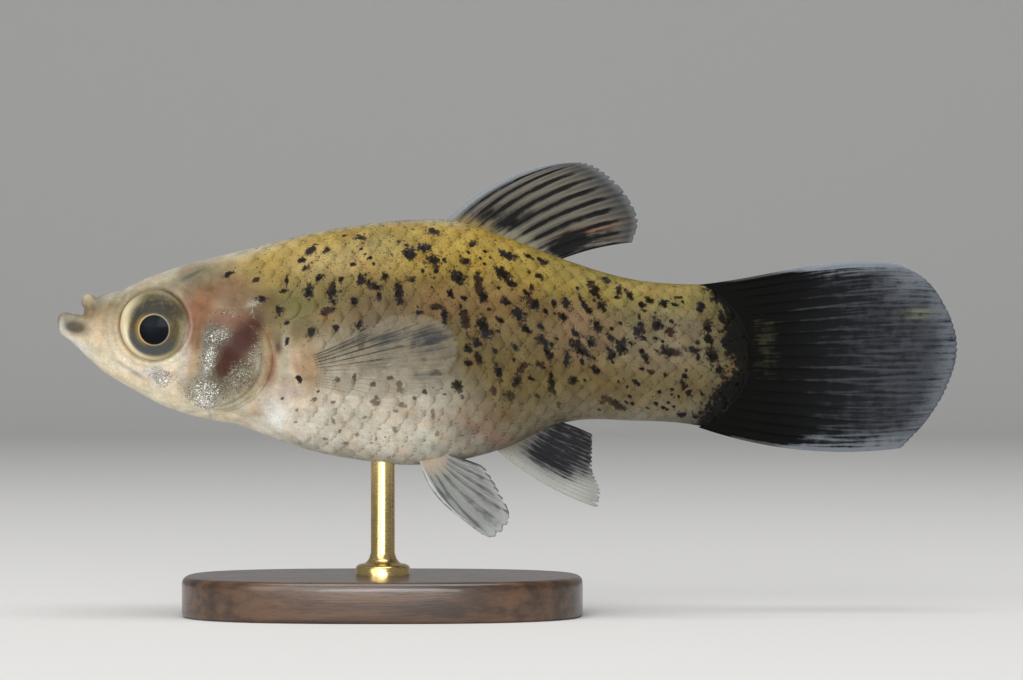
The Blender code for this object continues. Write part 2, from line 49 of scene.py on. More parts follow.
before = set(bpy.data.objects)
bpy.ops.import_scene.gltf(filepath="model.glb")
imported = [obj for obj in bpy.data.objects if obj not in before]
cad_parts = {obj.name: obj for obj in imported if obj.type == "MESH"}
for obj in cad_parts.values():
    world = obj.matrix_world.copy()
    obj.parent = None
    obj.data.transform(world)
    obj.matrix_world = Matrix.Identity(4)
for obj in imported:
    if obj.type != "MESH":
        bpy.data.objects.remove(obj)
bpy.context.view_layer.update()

MM = 0.001
SIDES = (("left", -1), ("right", 1))
SNOUT_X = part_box("lower_jaw")[0].x / MM
AXIS_HEIGHT = 17.2
STAND_TO_FRAME = Matrix.Scale(MM, 4)
FISH_TO_FRAME = Matrix.Translation((SNOUT_X * MM, 0.0, AXIS_HEIGHT * MM)) @ STAND_TO_FRAME

# The photograph: how many of its pixels make a millimetre, and where the jaw's tip and the axis are
PIXELS_PER_MM = 16.0
PHOTO_SIZE = (1023, 680)
JAW_TIP_PIXEL = 58.0
AXIS_PIXEL = 340.0
LENS = 150.0
SENSOR = 36.0
CAMERA_DISTANCE = PHOTO_SIZE[0] / PIXELS_PER_MM * LENS / SENSOR

# Which column of BODY and of JAW holds what
TOP, FOOT, HALF = 1, 2, 3

# Trunk and head: distance back, height of the back, height of the belly, half width
BODY = (
    (1.9, 2.3, -0.9, 1.25), (2.6, 2.75, -1.75, 1.7), (3.9, 3.1, -2.6, 2.2), (5.1, 3.68, -3.3, 2.6),
    (6.4, 4.18, -4.0, 2.9), (8.9, 4.95, -4.85, 3.3), (11.4, 5.55, -5.35, 3.6), (13.9, 6.2, -6.3, 3.85),
    (16.4, 6.8, -7.05, 4.0), (18.9, 7.2, -7.5, 4.0), (22.0, 7.5, -7.8, 3.85), (24.5, 7.5, -7.6, 3.55),
    (27.6, 6.55, -6.85, 3.05), (31.4, 5.1, -5.2, 2.45), (36.4, 3.7, -5.05, 1.8), (38.6, 3.5, -5.15, 1.5),
    (41.0, 3.5, -5.5, 1.15), (43.9, 4.0, -5.95, 0.7),
)
WIDEST_LEVEL = ((0.0, 0.3), (12.0, -0.5), (20.0, -1.1), (32.0, -0.6), (44.0, -0.8))
BACK_SQUARENESS = ((2.0, 2.7), (8.0, 2.5), (15.0, 2.1), (26.0, 1.9), (44.0, 2.1))
BELLY_SQUARENESS = 2.1

# Where the scales hide the whole skin
TRUNK_START = 15.5

# The round end of the flesh, where the tail fin begins
TAIL_ARC_REAR = 43.3
TAIL_ARC_RADIUS = 4.9
TAIL_ARC_CENTRE = TAIL_ARC_REAR - TAIL_ARC_RADIUS
TAIL_ARC_LEVEL = -1.0
TAIL_ARC_SPREAD = math.radians(66)
TAIL_TAPER = 3.2
TAIL_ROOT_HALF = 0.11

# Lower jaw: distance back, height of its rim, height of the chin, half width
JAW = (
    (0.0, 1.4, 0.9, 0.35), (0.12, 1.65, 0.5, 0.72), (0.4, 1.8, 0.25, 0.98), (0.9, 1.72, -0.15, 1.2),
    (1.6, 1.6, -0.85, 1.42), (2.6, 1.3, -1.75, 1.76), (3.5, 0.9, -2.4, 2.05),
)
JAW_RINGS = (0.0, 0.06, 0.12, 0.25, 0.4, 0.6, 0.9, 1.25, 1.6, 2.0, 2.6, 3.0, 3.5)
JAW_WIDEST = 0.62
JAW_RIM_SQUARENESS = 2.7
JAW_CHIN_SQUARENESS = 2.1
JAW_BOWL_PLACE = (1.3, 0.0, 2.0)
JAW_BOWL_RADII = (1.0, 0.8, 0.8)

# Upper jaw: a band bent round the snout
LIP_FRONT = 1.88
LIP_REACH_BACK = 1.0
LIP_HALF_WIDTH = 1.22
LIP_HEIGHT = 2.42
LIP_DROP = 0.75
LIP_THICKNESS = 0.38
LIP_DEPTH = 0.5
LIP_TURN = math.radians(98)

# The front of the snout, between the jaws
MUZZLE_PLACE = (2.1, 0.0, 1.62)
MUZZLE_RADII = (0.5, 0.95, 0.55)

# Eyes, and the pupil's place within them
EYE_BACK = 6.25
EYE_HEIGHT = 0.9
EYE_ACROSS = 2.06
EYE_TURN = math.radians(12)
PUPIL_BACK = 6.28
PUPIL_HEIGHT = 0.63

# Gill covers
COVER_FRONT = 8.35
COVER_TOP = 2.3
COVER_FOOT = -4.55
COVER_REAR = 13.5
COVER_CORNER = 1.2
COVER_MIDDLE = (COVER_TOP + COVER_FOOT) / 2
COVER_HALF_HEIGHT = (COVER_TOP - COVER_FOOT) / 2
COVER_THICKNESS = 0.22
COVER_GRID = 72

# Scales: where the rows start behind the gill cover, how long they are, and the place of the first
# scale at each share of the way from the back's ridge to the keel
SCALES_START = 14.2
SCALES_LENGTH = 29.2
SCALES_END = 43.0
FIRST_SCALE = ((0.0, 10.4), (0.2, 11.6), (0.34, 13.6), (0.4, 14.9), (0.75, 14.9), (0.85, 14.2), (1.0, 13.6))
SCALE_THICKNESS = 0.03
SCALE_PATCH = 0.0015

# Fins, as (distance back, height) from the first ray's tip to the last, with where their roots run
DORSAL_EDGE = ((31.2, 11.05), (33.2, 11.0), (34.6, 10.1), (35.7, 8.8), (36.25, 7.4), (35.9, 6.1))
DORSAL_ROOT = (23.6, 30.5)
DORSAL_BOW = (0.8, 0.25)
ANAL_EDGE = ((33.75, -10.5), (33.9, -9.5), (33.4, -8.1), (33.4, -6.9), (33.4, -5.9))
ANAL_ROOT = (26.8, 30.3)
ANAL_BOW = (-0.45, 0.1)
TAIL_EDGE = (
    (52.7, 4.72), (54.2, 3.85), (55.5, 2.1), (56.2, -0.2), (55.5, -3.0), (54.2, -5.1), (52.7, -6.75),
)
TAIL_BOW_ABOVE = 0.5
TAIL_BOW_BELOW = 0.75
PELVIC_EDGE = ((25.4, -11.1), (27.25, -12.25), (28.2, -11.2), (27.55, -9.5), (26.6, -7.95))
PELVIC_ROOT = (22.5, 23.8)
PELVIC_BOW = (-0.6, 0.0)
PECTORAL_EDGE = (
    (21.0, 5.3, 1.55), (23.6, 5.6, 1.35), (25.0, 5.6, 0.2), (24.7, 5.4, -1.7), (22.6, 5.0, -3.2),
    (19.6, 4.6, -3.75),
)
PECTORAL_ROOT_TOP = (15.35, 3.3, -1.05)
PECTORAL_ROOT_FOOT = (15.7, 3.3, -2.8)
PECTORAL_SET_OUT = (1.0, 1.55, 0.0)
FIN_MAP_LENGTH = 12.0
FIN_SUNK = 0.8
FIRST_FORK = 0.4
SECOND_FORK = 0.7
FIN_MARGIN_HALF = 0.012
RAY_SEGMENTS = 34
DORSAL_RAYS = 10
ANAL_RAYS = 9
TAIL_RAYS = 17
PELVIC_RAYS = 7
PECTORAL_RAYS = 13

# The skin's map is this long, in mm
UNWRAP_LENGTH = 45.0

# Stand: the base's outline, the radius and the height over the foot along the rod's profile, and how
# far the rod reaches into the base and into the fish
BASE_SQUARENESS = 2.6
ROD_PROFILE = (
    (0.0, 0.0), (1.7, 0.0), (1.7, 0.45), (1.62, 0.6), (1.45, 0.7), (1.15, 0.74), (1.0, 0.86), (0.86, 1.05),
    (0.75, 1.4),
)
ROD_RADIUS = 0.75
ROD_INTO_BASE = 0.3
ROD_INTO_FISH = 0.35

# Stage, in metres
FLOOR_HALF_WIDTH = 1.6
FLOOR_FRONT = -1.2
BACKDROP_START = 0.5
BACKDROP_CURVE = 0.35
BACKDROP_TOP = 1.2

# Dark spots of the left side, chosen one by one in the photograph: pixel across, pixel down, half length,
# half height, and for some how far they lean clockwise in degrees
SPOTS = (
    (311, 250, 7, 4, -50), (326, 250, 3, 2.8), (302, 260, 3.8, 3, 20), (305, 268, 3.8, 3.2),
    (360, 237, 5, 4, 10), (433, 231, 6, 4.2, 40), (424, 248, 7, 5, -10), (410, 254, 6, 6),
    (434, 261, 6, 6), (436, 271, 2.4, 2.4), (466, 261, 5.4, 3.8), (472, 244, 3, 5.5, 40), (457, 277, 7, 6),
    (479, 285, 4.6, 11, -5), (482, 296, 5.4, 6), (450, 294, 3, 4), (464, 298, 2.7, 2.7),
    (362, 280, 4.6, 5.4), (374, 286, 7, 4.6, 25), (380, 297, 2.7, 4), (385, 277, 3.2, 4),
    (399, 293, 3.6, 13), (412, 280, 4, 2.5, -20), (309, 291, 4.6, 7), (332, 292, 4.4, 11, 3),
    (328, 311, 6.2, 4, -10), (355, 301, 3.4, 4.8), (360, 325, 3.6, 4.4), (362, 337, 4, 8, 8),
    (337, 328, 2.4, 4.2, -15), (320, 278, 4, 3.2, -20), (341, 280, 3, 3), (284, 291, 3.2, 2.2),
    (287, 281, 1.8, 5), (280, 311, 4.2, 4.6), (262, 299, 5, 2.6, 25), (288, 323, 2.2, 2.8),
    (311, 333, 3.8, 4.4), (288, 342, 2.4, 3.4, -20), (300, 378, 2.2, 3.6, -20), (437, 307, 6.5, 2.8),
    (465, 320, 4.2, 12, -10), (484, 328, 6.2, 9.6, -20), (476, 343, 4.8, 5.6, 20), (468, 349, 3.8, 3.8),
    (479, 359, 3.4, 6, -10), (468, 363, 3.4, 3.4), (445, 317, 3.2, 7), (419, 313, 3.8, 2.4),
    (508, 255, 8.4, 4.6, -10), (529, 256, 4.6, 2.4), (543, 261, 5.4, 3.8, 10), (504, 275, 9.6, 5.6, 30),
    (511, 283, 4.8, 4.8), (540, 276, 3.8, 4.2), (498, 288, 2, 2), (532, 288, 2.4, 4.6),
    (526, 293, 3.6, 2.2, 20), (506, 302, 4.8, 4, 20), (532, 303, 8, 5.6), (519, 314, 6, 6.6, 20),
    (525, 328, 5.6, 3.8, 20), (541, 326, 3.2, 4.8), (499, 320, 4, 2.2), (554, 303, 2.2, 3.6),
    (567, 304, 4.2, 6.2, -10), (563, 317, 3.8, 4.4, 20), (546, 311, 2.2, 2.2), (594, 288, 4.6, 8.6, -25),
    (594, 300, 2.2, 2.4), (607, 280, 4, 3.6, 30), (619, 290, 3.2, 6.2, 15), (630, 294, 3, 6.8, -30),
    (584, 303, 3, 6.6, -30), (590, 311, 3.2, 3.2), (603, 306, 4, 6), (643, 304, 3.8, 3.4),
    (650, 300, 3.8, 3.8), (665, 304, 4.4, 4.4, 20), (680, 297, 3.6, 1.6), (597, 326, 6.4, 5, 40),
    (611, 337, 4, 3.6), (640, 330, 4.6, 8, 15), (657, 326, 4.2, 7), (671, 331, 5, 4.6), (575, 333, 3, 3.4),
    (578, 347, 6.6, 7.6, -20), (591, 342, 5.4, 5.4), (587, 354, 7.8, 3.8, 20), (567, 359, 3, 9, 15),
    (582, 362, 2.8, 3), (544, 341, 8, 4.2), (549, 353, 4, 7, -15), (515, 347, 3.2, 3.2),
    (495, 351, 2.4, 2.4), (541, 365, 3.8, 3.8), (498, 372, 3.4, 10, -10), (523, 367, 2.8, 7.6, 40),
    (517, 381, 3.6, 8, 20), (509, 396, 6, 3.8, -40), (551, 381, 2.8, 11), (596, 370, 5.6, 3.4, -5),
    (573, 381, 5, 3.2, -40), (494, 391, 3.2, 3.8), (532, 379, 3.8, 1.8), (622, 347, 6, 8, 30),
    (612, 356, 4.8, 4.4), (645, 356, 3.2, 7, -35), (652, 372, 4, 2.4), (670, 352, 10, 5), (694, 350, 7, 3),
    (699, 357, 2.6, 4.8), (612, 402, 9.4, 4, 15), (620, 407, 6.4, 4, 10), (685, 386, 3.2, 5, -20),
    (690, 393, 3.2, 3.6, -30), (637, 383, 4.4, 2.4, 20), (709, 326, 4, 7), (710, 338, 4.6, 5.6),
    (714, 356, 6, 9), (702, 307, 4.2, 4.8), (683, 415, 4, 3.6), (559, 405, 2.2, 3.4), (537, 396, 2.8, 2.8),
    (375, 402, 3.4, 3), (400, 386, 2.8, 6, -10), (355, 378, 2.2, 4.2, 15), (402, 405, 2.8, 2.4),
    (345, 444, 3.2, 2.2, 35), (395, 430, 2, 3.8, -15), (433, 413, 1.8, 4.4), (437, 434, 1.8, 3.4, 10),
    (425, 392, 2.4, 2.2), (438, 372, 3.4, 2.6), (458, 387, 4, 5, 40), (463, 397, 2.2, 2.2),
    (730, 346, 5.6, 12), (724, 318, 4, 6), (722, 372, 5, 6), (228, 274, 5.2, 2.6, -15), (256, 280, 4, 2.8),
    (617, 297, 3, 1.8), (645, 311, 2.6, 2.4), (675, 304, 2.8, 1.8), (684, 302, 1.8, 1.6),
    (663, 327, 2.4, 3), (672, 321, 1.7, 1.7), (640, 317, 1.8, 3.4), (631, 343, 3, 2.2, 30),
    (611, 351, 3.2, 2.6), (613, 362, 1.6, 1.6), (555, 392, 1.5, 3), (642, 369, 2.6, 1.7),
    (666, 375, 1.5, 2.3), (699, 342, 2, 2.6), (687, 370, 1.8, 1.8), (686, 377, 2.8, 2.6),
    (673, 390, 1.6, 1.6), (673, 395, 1.5, 1.5), (660, 392, 1.9, 1.9), (680, 397, 1.5, 1.5),
    (703, 394, 1.6, 2.2), (619, 382, 1.3, 1.8), (628, 387, 1.4, 1.6), (631, 397, 2, 1.9),
    (633, 404, 1.8, 1.7), (627, 403, 2, 1.9), (603, 403, 3, 1.8, -15), (600, 410, 1.8, 1.7),
    (648, 408, 2.6, 1.8), (657, 404, 2.6, 2), (664, 408, 2.8, 1.6, 10), (669, 403, 1.6, 1.5),
    (668, 410, 1.7, 1.5), (675, 407, 1.8, 1.3), (697, 418, 2.6, 2.4), (555, 314, 1.7, 1.7),
    (578, 288, 1.7, 1.7), (621, 323, 1.8, 1.7), (612, 329, 1.7, 1.6), (557, 339, 2.2, 1.6),
    (656, 338, 2.6, 1.7), (663, 341, 2, 1.6), (645, 338, 3, 2.2, 20), (585, 380, 1.7, 1.8),
    (344, 235, 2.2, 1.5), (361, 249, 1.7, 1.4), (365, 254, 1.6, 1.5), (370, 258, 2, 1.5),
    (374, 264, 1.6, 1.6), (353, 264, 3, 2.4), (406, 245, 2.4, 1.5), (444, 260, 2.6, 2.2),
    (424, 263, 1.6, 1.6), (423, 271, 1.6, 2), (468, 252, 2, 1.6), (480, 258, 1.6, 1.5), (490, 257, 1.7, 2),
    (484, 264, 1.6, 1.5), (485, 251, 2.2, 1.4), (489, 309, 2.2, 1.8), (514, 360, 1.6, 2),
    (499, 332, 1.8, 1.6), (337, 380, 2.8, 2.2), (374, 384, 2.8, 2), (390, 378, 2.6, 2), (444, 394, 2, 1.3),
    (415, 398, 1.7, 1.6), (406, 406, 1.3, 1.7), (396, 411, 2.4, 2), (377, 398, 1.8, 2.4),
    (334, 402, 2, 1.7), (333, 421, 1.9, 3.2, -20), (339, 432, 1.4, 2.4, 20), (357, 435, 1.9, 1.9),
    (324, 439, 2.6, 1.5, 35), (365, 417, 1.8, 1.3), (371, 443, 1.5, 1.5), (376, 439, 1.3, 1.9),
    (297, 410, 1.4, 1.3), (296, 422, 1.9, 1.2), (315, 399, 2.6, 2), (319, 391, 1.9, 1.3),
    (283, 398, 1.4, 1.3),
)

# Spots lie about SPOT_OUT mm from the middle plane, and those of the right side are moved by about
# SPOT_SHIFT mm. What is further than SPOT_REACH mm from a spot's middle is not tested against it.
SPOT_OUT = 3.0
SPOT_SHIFT = 0.55
SPOT_REACH = 1.6
NO_SPOT = 9.0
SPOT_MARKS = ("spot_first", "spot_second", "spot_third")

# Where the black of the tail's root starts: height, distance back
SOOT_START = (
    (-4.8, 39.7), (-3.8, 40.4), (-2.9, 41.0), (-2.2, 41.9), (-1.2, 42.0), (-0.6, 41.7), (0.0, 41.4),
    (1.0, 41.4), (1.8, 41.5), (2.4, 40.9), (3.5, 40.2),
)

# Soft washes of colour over the ground of the skin, chosen one by one: distance back, height, half length,
# half height, lean in degrees, strength, and the colour's name
# The washes of the ridge colour, and the thin ivory ones along the top edge of the head and the nape, are
# painted rim light
WASHES = (
    (1.2, 0.8, 1.05, 0.52, 5, 0.97, "slate"), (1, 1.45, 1.3, 0.4, 0, 0.4, "slate"),
    (3, 1.2, 1.6, 1.3, 0, 0.3, "ochre"), (1.9, 2.6, 0.5, 0.5, 0, 0.4, "bone"),
    (2.55, 2.35, 0.35, 0.5, 30, 0.45, "slate"), (3.4, 2.2, 1.3, 0.9, -20, 0.45, "olive"),
    (6.2, 3.8, 2.4, 0.7, -18, 0.5, "bone"), (3.2, 0.4, 1.6, 1.6, 0, 0.25, "ochre"),
    (5.6, 4.3, 5.5, 0.5, -17, 0.45, "ivory"), (14.4, 0.9, 1.5, 1.1, 0, 0.4, "moss"),
    (16.2, 2, 1.6, 1.2, 10, 0.45, "moss"), (16.9, 1.5, 0.6, 0.5, 0, 0.5, "orange"),
    (20.6, 2.1, 2.4, 0.9, 0, 0.4, "fawn"), (23.9, 2.4, 1.6, 0.9, 0, 0.35, "orange"),
    (27.5, 2.4, 1.5, 1.3, 0, 0.3, "orange"), (32.5, 0.6, 1.6, 1.6, 0, 0.25, "pink"),
    (37.4, -0.8, 2.2, 0.9, 0, 0.22, "pink"), (27, -5.9, 2.6, 0.5, 20, 0.35, "pink"),
    (25.4, -5.6, 0.9, 0.6, 0, 0.3, "slate"), (41.8, 3, 1.2, 1, 0, 0.8, "soot"),
    (42.6, 1.2, 0.9, 1.4, 0, 0.5, "soot"), (37.5, 3.3, 4, 0.7, 0, 0.4, "gold"),
    (20.6, 6.1, 2.3, 0.9, 0, 0.5, "dull_gold"), (20, -4.6, 3.2, 1, 0, 0.3, "ochre"),
    (26.6, -4.6, 2.2, 1, 0, 0.2, "orange"), (35.8, -0.3, 3.2, 1.9, 0, 0.42, "tan"),
    (41.6, -4.7, 1.6, 1.3, 0, 0.75, "soot"), (42.6, -3.2, 0.9, 0.9, 0, 0.5, "soot"),
    (39.9, -5.3, 1.6, 0.5, 0, 0.45, "slate"), (1.25, -0.15, 1.3, 0.22, 38, 0.7, "ivory"),
    (0.3, 0.7, 0.2, 0.7, 0, 0.35, "ivory"), (11.6, 5.45, 3, 0.35, -12, 0.25, "ivory"),
    (9, 4.1, 1.6, 0.8, -15, 0.55, "olive"), (8.5, 4.1, 0.7, 0.13, -28, 0.8, "slate"),
    (4.1, 3.05, 1.7, 0.3, -22, 0.6, "ridge"), (17.5, 4.9, 3.5, 1.1, -8, 0.1, "cream"),
    (8.9, 3, 1.3, 0.6, 0, 0.65, "olive"), (10.9, 3.1, 1.6, 1, 0, 0.85, "fawn"),
    (9.05, 1.75, 1.15, 1.2, 0, 0.87, "rust"), (8.9, 0.2, 0.5, 1.3, 4, 0.82, "rust"),
    (10.9, -0.6, 1.9, 2.4, 10, 0.75, "fawn"), (8.7, -1.5, 0.6, 1.6, 0, 0.35, "ochre"),
    (8.15, -1.2, 0.3, 2.2, 5, 0.35, "pearl"), (6.36, -2.16, 1.3, 0.5, 14, 0.7, "pearl"),
    (4.7, -1.86, 1.4, 0.13, 33, 0.35, "olive"), (11, 1.3, 1.7, 0.8, 0, 0.8, "fawn"),
    (10.9, 1.2, 1.2, 0.45, 0, 0.4, "pink"), (10.1, 0.2, 0.9, 0.8, 0, 0.75, "slate"),
    (9.75, -1, 0.5, 1.5, 8, 0.85, "slate"), (9.8, -2.9, 1.6, 0.9, 0, 0.85, "olive"),
    (11.8, -2, 1.1, 1.2, -25, 0.85, "olive"), (12.4, 0.5, 0.7, 1.2, 15, 0.88, "maroon"),
    (11.7, 0, 0.85, 1, 15, 0.97, "maroon"), (11.1, -0.9, 0.8, 0.8, 0, 0.92, "maroon"),
    (10.55, -1.75, 0.6, 0.75, 0, 0.86, "maroon"), (9.4, -3.95, 0.7, 0.3, 12, 0.85, "ivory"),
    (9.5, -1.5, 0.2, 0.8, 12, 0.5, "pearl"), (13.35, -0.2, 0.3, 0.9, 0, 0.6, "ochre"),
    (13.5, -1.8, 0.4, 1.3, 10, 0.8, "rust"), (14, -2.9, 0.7, 1, 0, 0.4, "ochre"),
    (12.8, -4.3, 1.6, 0.5, -22, 0.5, "ochre"), (14.9, 0.4, 1.3, 0.7, 0, 0.6, "tan"),
    (14.42, -1, 0.28, 1.4, 4, 0.9, "bone"), (14.4, -1.2, 0.3, 1.3, 4, 0.18, "slate"),
    (14.3, -2.3, 0.6, 0.5, -30, 0.75, "bone"), (13.8, -4.7, 0.8, 1, -15, 0.8, "ivory"),
    (14, -0.45, 0.25, 0.4, 0, 0.75, "maroon"), (15.05, -1.4, 0.22, 0.75, -18, 0.65, "pink"),
    (14.8, -3.2, 0.9, 0.6, 0, 0.35, "pink"), (14.8, -3.2, 0.9, 0.6, 0, 0.3, "pearl"),
    (15.9, -1.6, 0.9, 1.7, 0, 0.8, "ochre"), (12.4, 2.25, 0.4, 0.18, -15, 0.5, "ridge"),
    (17.2, 0.7, 2.2, 1.2, 0, 0.3, "tan"), (19, -2.6, 4, 1.6, 0, 0.3, "ochre"),
    (20.5, 0.9, 2.6, 0.7, 0, 0.35, "fawn"), (38.5, 0, 4, 2.4, 0, 0.4, "low_rear"),
    (42.6, -1.9, 0.9, 0.7, 0, 0.3, "ochre"), (41.2, -0.1, 1.2, 3.1, 0, 0.55, "olive"),
)

# Silver of the cheek and the gill cover, with painted glints: distance back, height, half length, half
# height, lean and strength
SILVER = (
    (6.7, -2.2, 0.8, 0.4, 12, 0.85), (6.8, -2.55, 0.4, 0.3, 0, 1.2), (12.4, 2.25, 0.45, 0.25, -15, 0.6),
    (12.35, 1.4, 0.22, 0.8, 0, 0.5), (11.1, 1.6, 0.9, 0.2, 0, 0.55), (10.3, 0.25, 0.9, 0.55, -10, 0.85),
    (9.75, -1.2, 0.42, 1.3, 8, 0.98), (9.3, -3.8, 0.8, 0.4, 12, 1.3), (9.4, -3.1, 1.3, 0.85, 0, 1),
    (9.6, -3.8, 0.8, 0.4, 0, 0.5), (11.6, -2.3, 1.2, 0.9, -25, 0.7), (12.5, -0.9, 0.6, 1, 8, 0.6),
    (12.4, 0.4, 0.6, 0.7, 0, 0.4),
)

# Furrows, nostrils and pores of the head: distance back, height, half length, half height, lean
PITS = (
    (8.5, 4.1, 0.6, 0.13, -28), (6.4, 3.55, 0.3, 0.12, -20), (9.6, 3.1, 0.2, 0.16, 0),
    (4.15, 2.5, 0.24, 0.2, 0), (3.3, 2.1, 0.2, 0.2, 0), (4.6, -1.5, 0.14, 0.14, 0),
    (5.6, -2, 0.14, 0.14, 0),
)

# Dark patches of the back fin, as in SILVER
DORSAL_PATCHES = (
    (28.3, 7.5, 1.6, 0.7, -25, 0.9), (26.9, 7.8, 1.3, 0.5, -12, 0.8), (32, 6.1, 1.7, 0.8, -15, 1.1),
    (33.8, 6.5, 1.6, 0.5, -10, 0.7), (31.3, 5.6, 1, 0.5, 20, 1.1),
)

# Smoky patches of the pectoral fin, by shares of the way across its rays and along them: the middle's
# two shares, the half sizes and the strength
PECTORAL_SMOKE = (
    (0.1, 0.62, 0.1, 0.2, 0.75), (0.24, 0.78, 0.12, 0.16, 0.8), (0.36, 0.9, 0.14, 0.12, 0.85),
    (0.44, 0.7, 0.1, 0.16, 0.55), (0.56, 0.92, 0.12, 0.1, 0.6), (0.72, 0.9, 0.12, 0.1, 0.3),
)


def photo_place(across, down, out=0.0):
    """The (distance back, height) that a pixel of the photograph shows, for what lies out mm nearer to
    the camera than the middle plane."""
    nearer = 1.0 - out / CAMERA_DISTANCE
    middle = (PHOTO_SIZE[0] / 2 - JAW_TIP_PIXEL) / PIXELS_PER_MM
    back = middle + (across - PHOTO_SIZE[0] / 2) / PIXELS_PER_MM * nearer
    return back, (AXIS_PIXEL - down) / PIXELS_PER_MM * nearer


# Sizes and colours that a user would change

def colour(name, value, about):
    return bpy.props.FloatVectorProperty(
        name=name, description=about, subtype="COLOR", size=3, min=0.0, max=1.0, default=value
    )


def number(name, value, about, least=0.0, most=100.0):
    return bpy.props.FloatProperty(name=name, description=about, default=value, min=least, max=most)


def count(name, value, about, least=1, most=500):
    return bpy.props.IntProperty(name=name, description=about, default=value, min=least, max=most)


class PlatyfishHide(bpy.types.PropertyGroup):
    """Skin and scales."""

    voxel: number("Voxel", 0.1, "Size in mm of the grid that fuses body and jaws", 0.05, 0.5)
    gold: colour("Gold", (0.41, 0.27, 0.045), "Ground colour of the back")
    dull_gold: colour("Dull gold", (0.228, 0.182, 0.046), "Ground colour of the back near the tail")
    tan: colour("Tan", (0.15, 0.107, 0.036), "Ground colour of the flank")
    cream: colour("Cream", (0.93, 0.87, 0.70), "Ground colour of the belly")
    low_rear: colour("Low rear", (0.23, 0.208, 0.148), "Ground colour below, behind the vent")
    cheek: colour("Cheek", (0.92, 0.83, 0.62), "Ground colour of the cheek and chin")
    # Ridge is painted rim light along the top edge of the back and the head
    ridge: colour("Ridge", (0.42, 0.41, 0.36), "Greyish line along the middle of the back")
    crown: colour("Crown", (0.33, 0.29, 0.19), "Ground colour of the top of the head")
    bone: colour("Bone", (0.50, 0.45, 0.32), "Pale skin over bone")
    slate: colour("Slate", (0.07, 0.078, 0.07), "Blue-grey skin")
    olive: colour("Olive", (0.115, 0.10, 0.052), "Olive skin of the head")
    rust: colour("Rust", (0.235, 0.07, 0.02), "Orange-red behind the eye")
    fawn: colour("Fawn", (0.17, 0.10, 0.052), "Pinkish brown")
    pearl: colour("Pearl", (0.66, 0.63, 0.66), "Pearly patch under the eye")
    maroon: colour("Maroon", (0.052, 0.008, 0.006), "Blood showing through the gill cover")
    ivory: colour("Ivory", (0.90, 0.89, 0.84), "Shoulder streak and chest")
    pink: colour("Pink", (0.42, 0.21, 0.15), "Flesh showing through thin skin")
    ochre: colour("Ochre", (0.30, 0.175, 0.07), "Skin round the root of the pectoral fin")
    moss: colour("Moss", (0.17, 0.17, 0.045), "Green tinge of the shoulder")
    orange: colour("Orange", (0.34, 0.16, 0.06), "Warm patches of the flank")
    soot: colour("Soot", (0.006, 0.0065, 0.006), "Black of the tail root")
    spot: colour("Spot", (0.005, 0.0045, 0.0035), "Dark spots")
    spot_blue: colour("Blue spot", (0.009, 0.009, 0.013), "Blue-black parts of dark spots")
    spot_edge: colour("Spot edge", (0.024, 0.013, 0.008), "Brown of thin spots and specks")
    scale_rows: count("Scale rows", 11, "Pairs of rows from the back's ridge to the belly's keel")
    scale_columns: count("Scale columns", 27, "Scales in a row from the gill opening to the tail")
    scale_lift: number("Scale lift", 0.017, "How far a scale's rear edge stands off the skin, in mm")
    scale_grid: count("Scale grid", 6, "Faces along one side of a scale", 4, 20)


class PlatyfishEye(bpy.types.PropertyGroup):
    """Eyes."""

    radius: number("Radius", 2.3, "Radius of the ball in mm, most of it inside the socket")
    bulge: number("Bulge", 1.35, "Half thickness of the ball in mm")
    pupil: number("Pupil", 0.93, "Radius of the pupil in mm")
    pupil_colour: colour("Pupil colour", (0.003, 0.004, 0.006), "Blue-black of the pupil")
    ring_colour: colour("Ring colour", (0.50, 0.34, 0.13), "Gold ring round the pupil")
    iris_colour: colour("Iris colour", (0.062, 0.071, 0.076), "Blue-grey band under the pupil")
    dark_colour: colour("Dark colour", (0.032, 0.033, 0.029), "Dark upper iris")
    gold_colour: colour("Gold colour", (0.27, 0.17, 0.06), "Gold of the iris in front")
    cream_colour: colour("Cream colour", (0.74, 0.64, 0.41), "Pale crescent of the iris")


class PlatyfishFins(bpy.types.PropertyGroup):
    """Fins."""

    membrane: number("Membrane", 0.05, "Half thickness of the membrane in mm")
    ray: number("Ray", 0.1, "How far a ray stands off the membrane at its root, in mm")
    columns: count("Columns", 12, "Faces across one ray")
    rows: count("Rows", 56, "Faces along a ray")
    ray_colour: colour("Ray colour", (0.128, 0.115, 0.092), "Pale rays")
    clear_colour: colour("Clear colour", (0.045, 0.05, 0.053), "Clear membrane near the margin")
    dark_colour: colour("Dark colour", (0.009, 0.009, 0.009), "Dark membrane of the back fin")
    tail_black: colour("Tail black", (0.002, 0.002, 0.0017), "Root of the tail fin")
    tail_grey: colour("Tail grey", (0.013, 0.0145, 0.018), "Outer part of the tail fin")
    tail_rim: colour("Tail rim", (0.20, 0.222, 0.25), "Rim of the tail fin")
    milk: colour("Milk", (0.24, 0.247, 0.23), "Pale fins under the belly")


class PlatyfishStand(bpy.types.PropertyGroup):
    """Display stand."""

    wood: colour("Wood", (0.10, 0.048, 0.022), "Varnished wood of the base")
    wood_dark: colour("Dark grain", (0.03, 0.014, 0.007), "Dark lines of the grain")
    brass: colour("Brass", (0.74, 0.55, 0.24), "Brass of the rod and collar")


class PlatyfishStage(bpy.types.PropertyGroup):
    """Floor, lights and camera."""

    floor: colour("Floor", (0.68, 0.672, 0.655), "Floor and backdrop")
    lens: number("Lens", LENS, "Focal length in mm", 20.0, 400.0)
    sensor: number("Sensor", SENSOR, "Sensor width in mm", 10.0, 60.0)
    key: number("Key light", 2.35, "Power of the main light in W")
    fill: number("Fill light", 1.48, "Power of the light from low in front in W")
    top: number("Top light", 1.5, "Power of the light above in W")
    world: number("World", 0.26, "Strength of the light from all round")


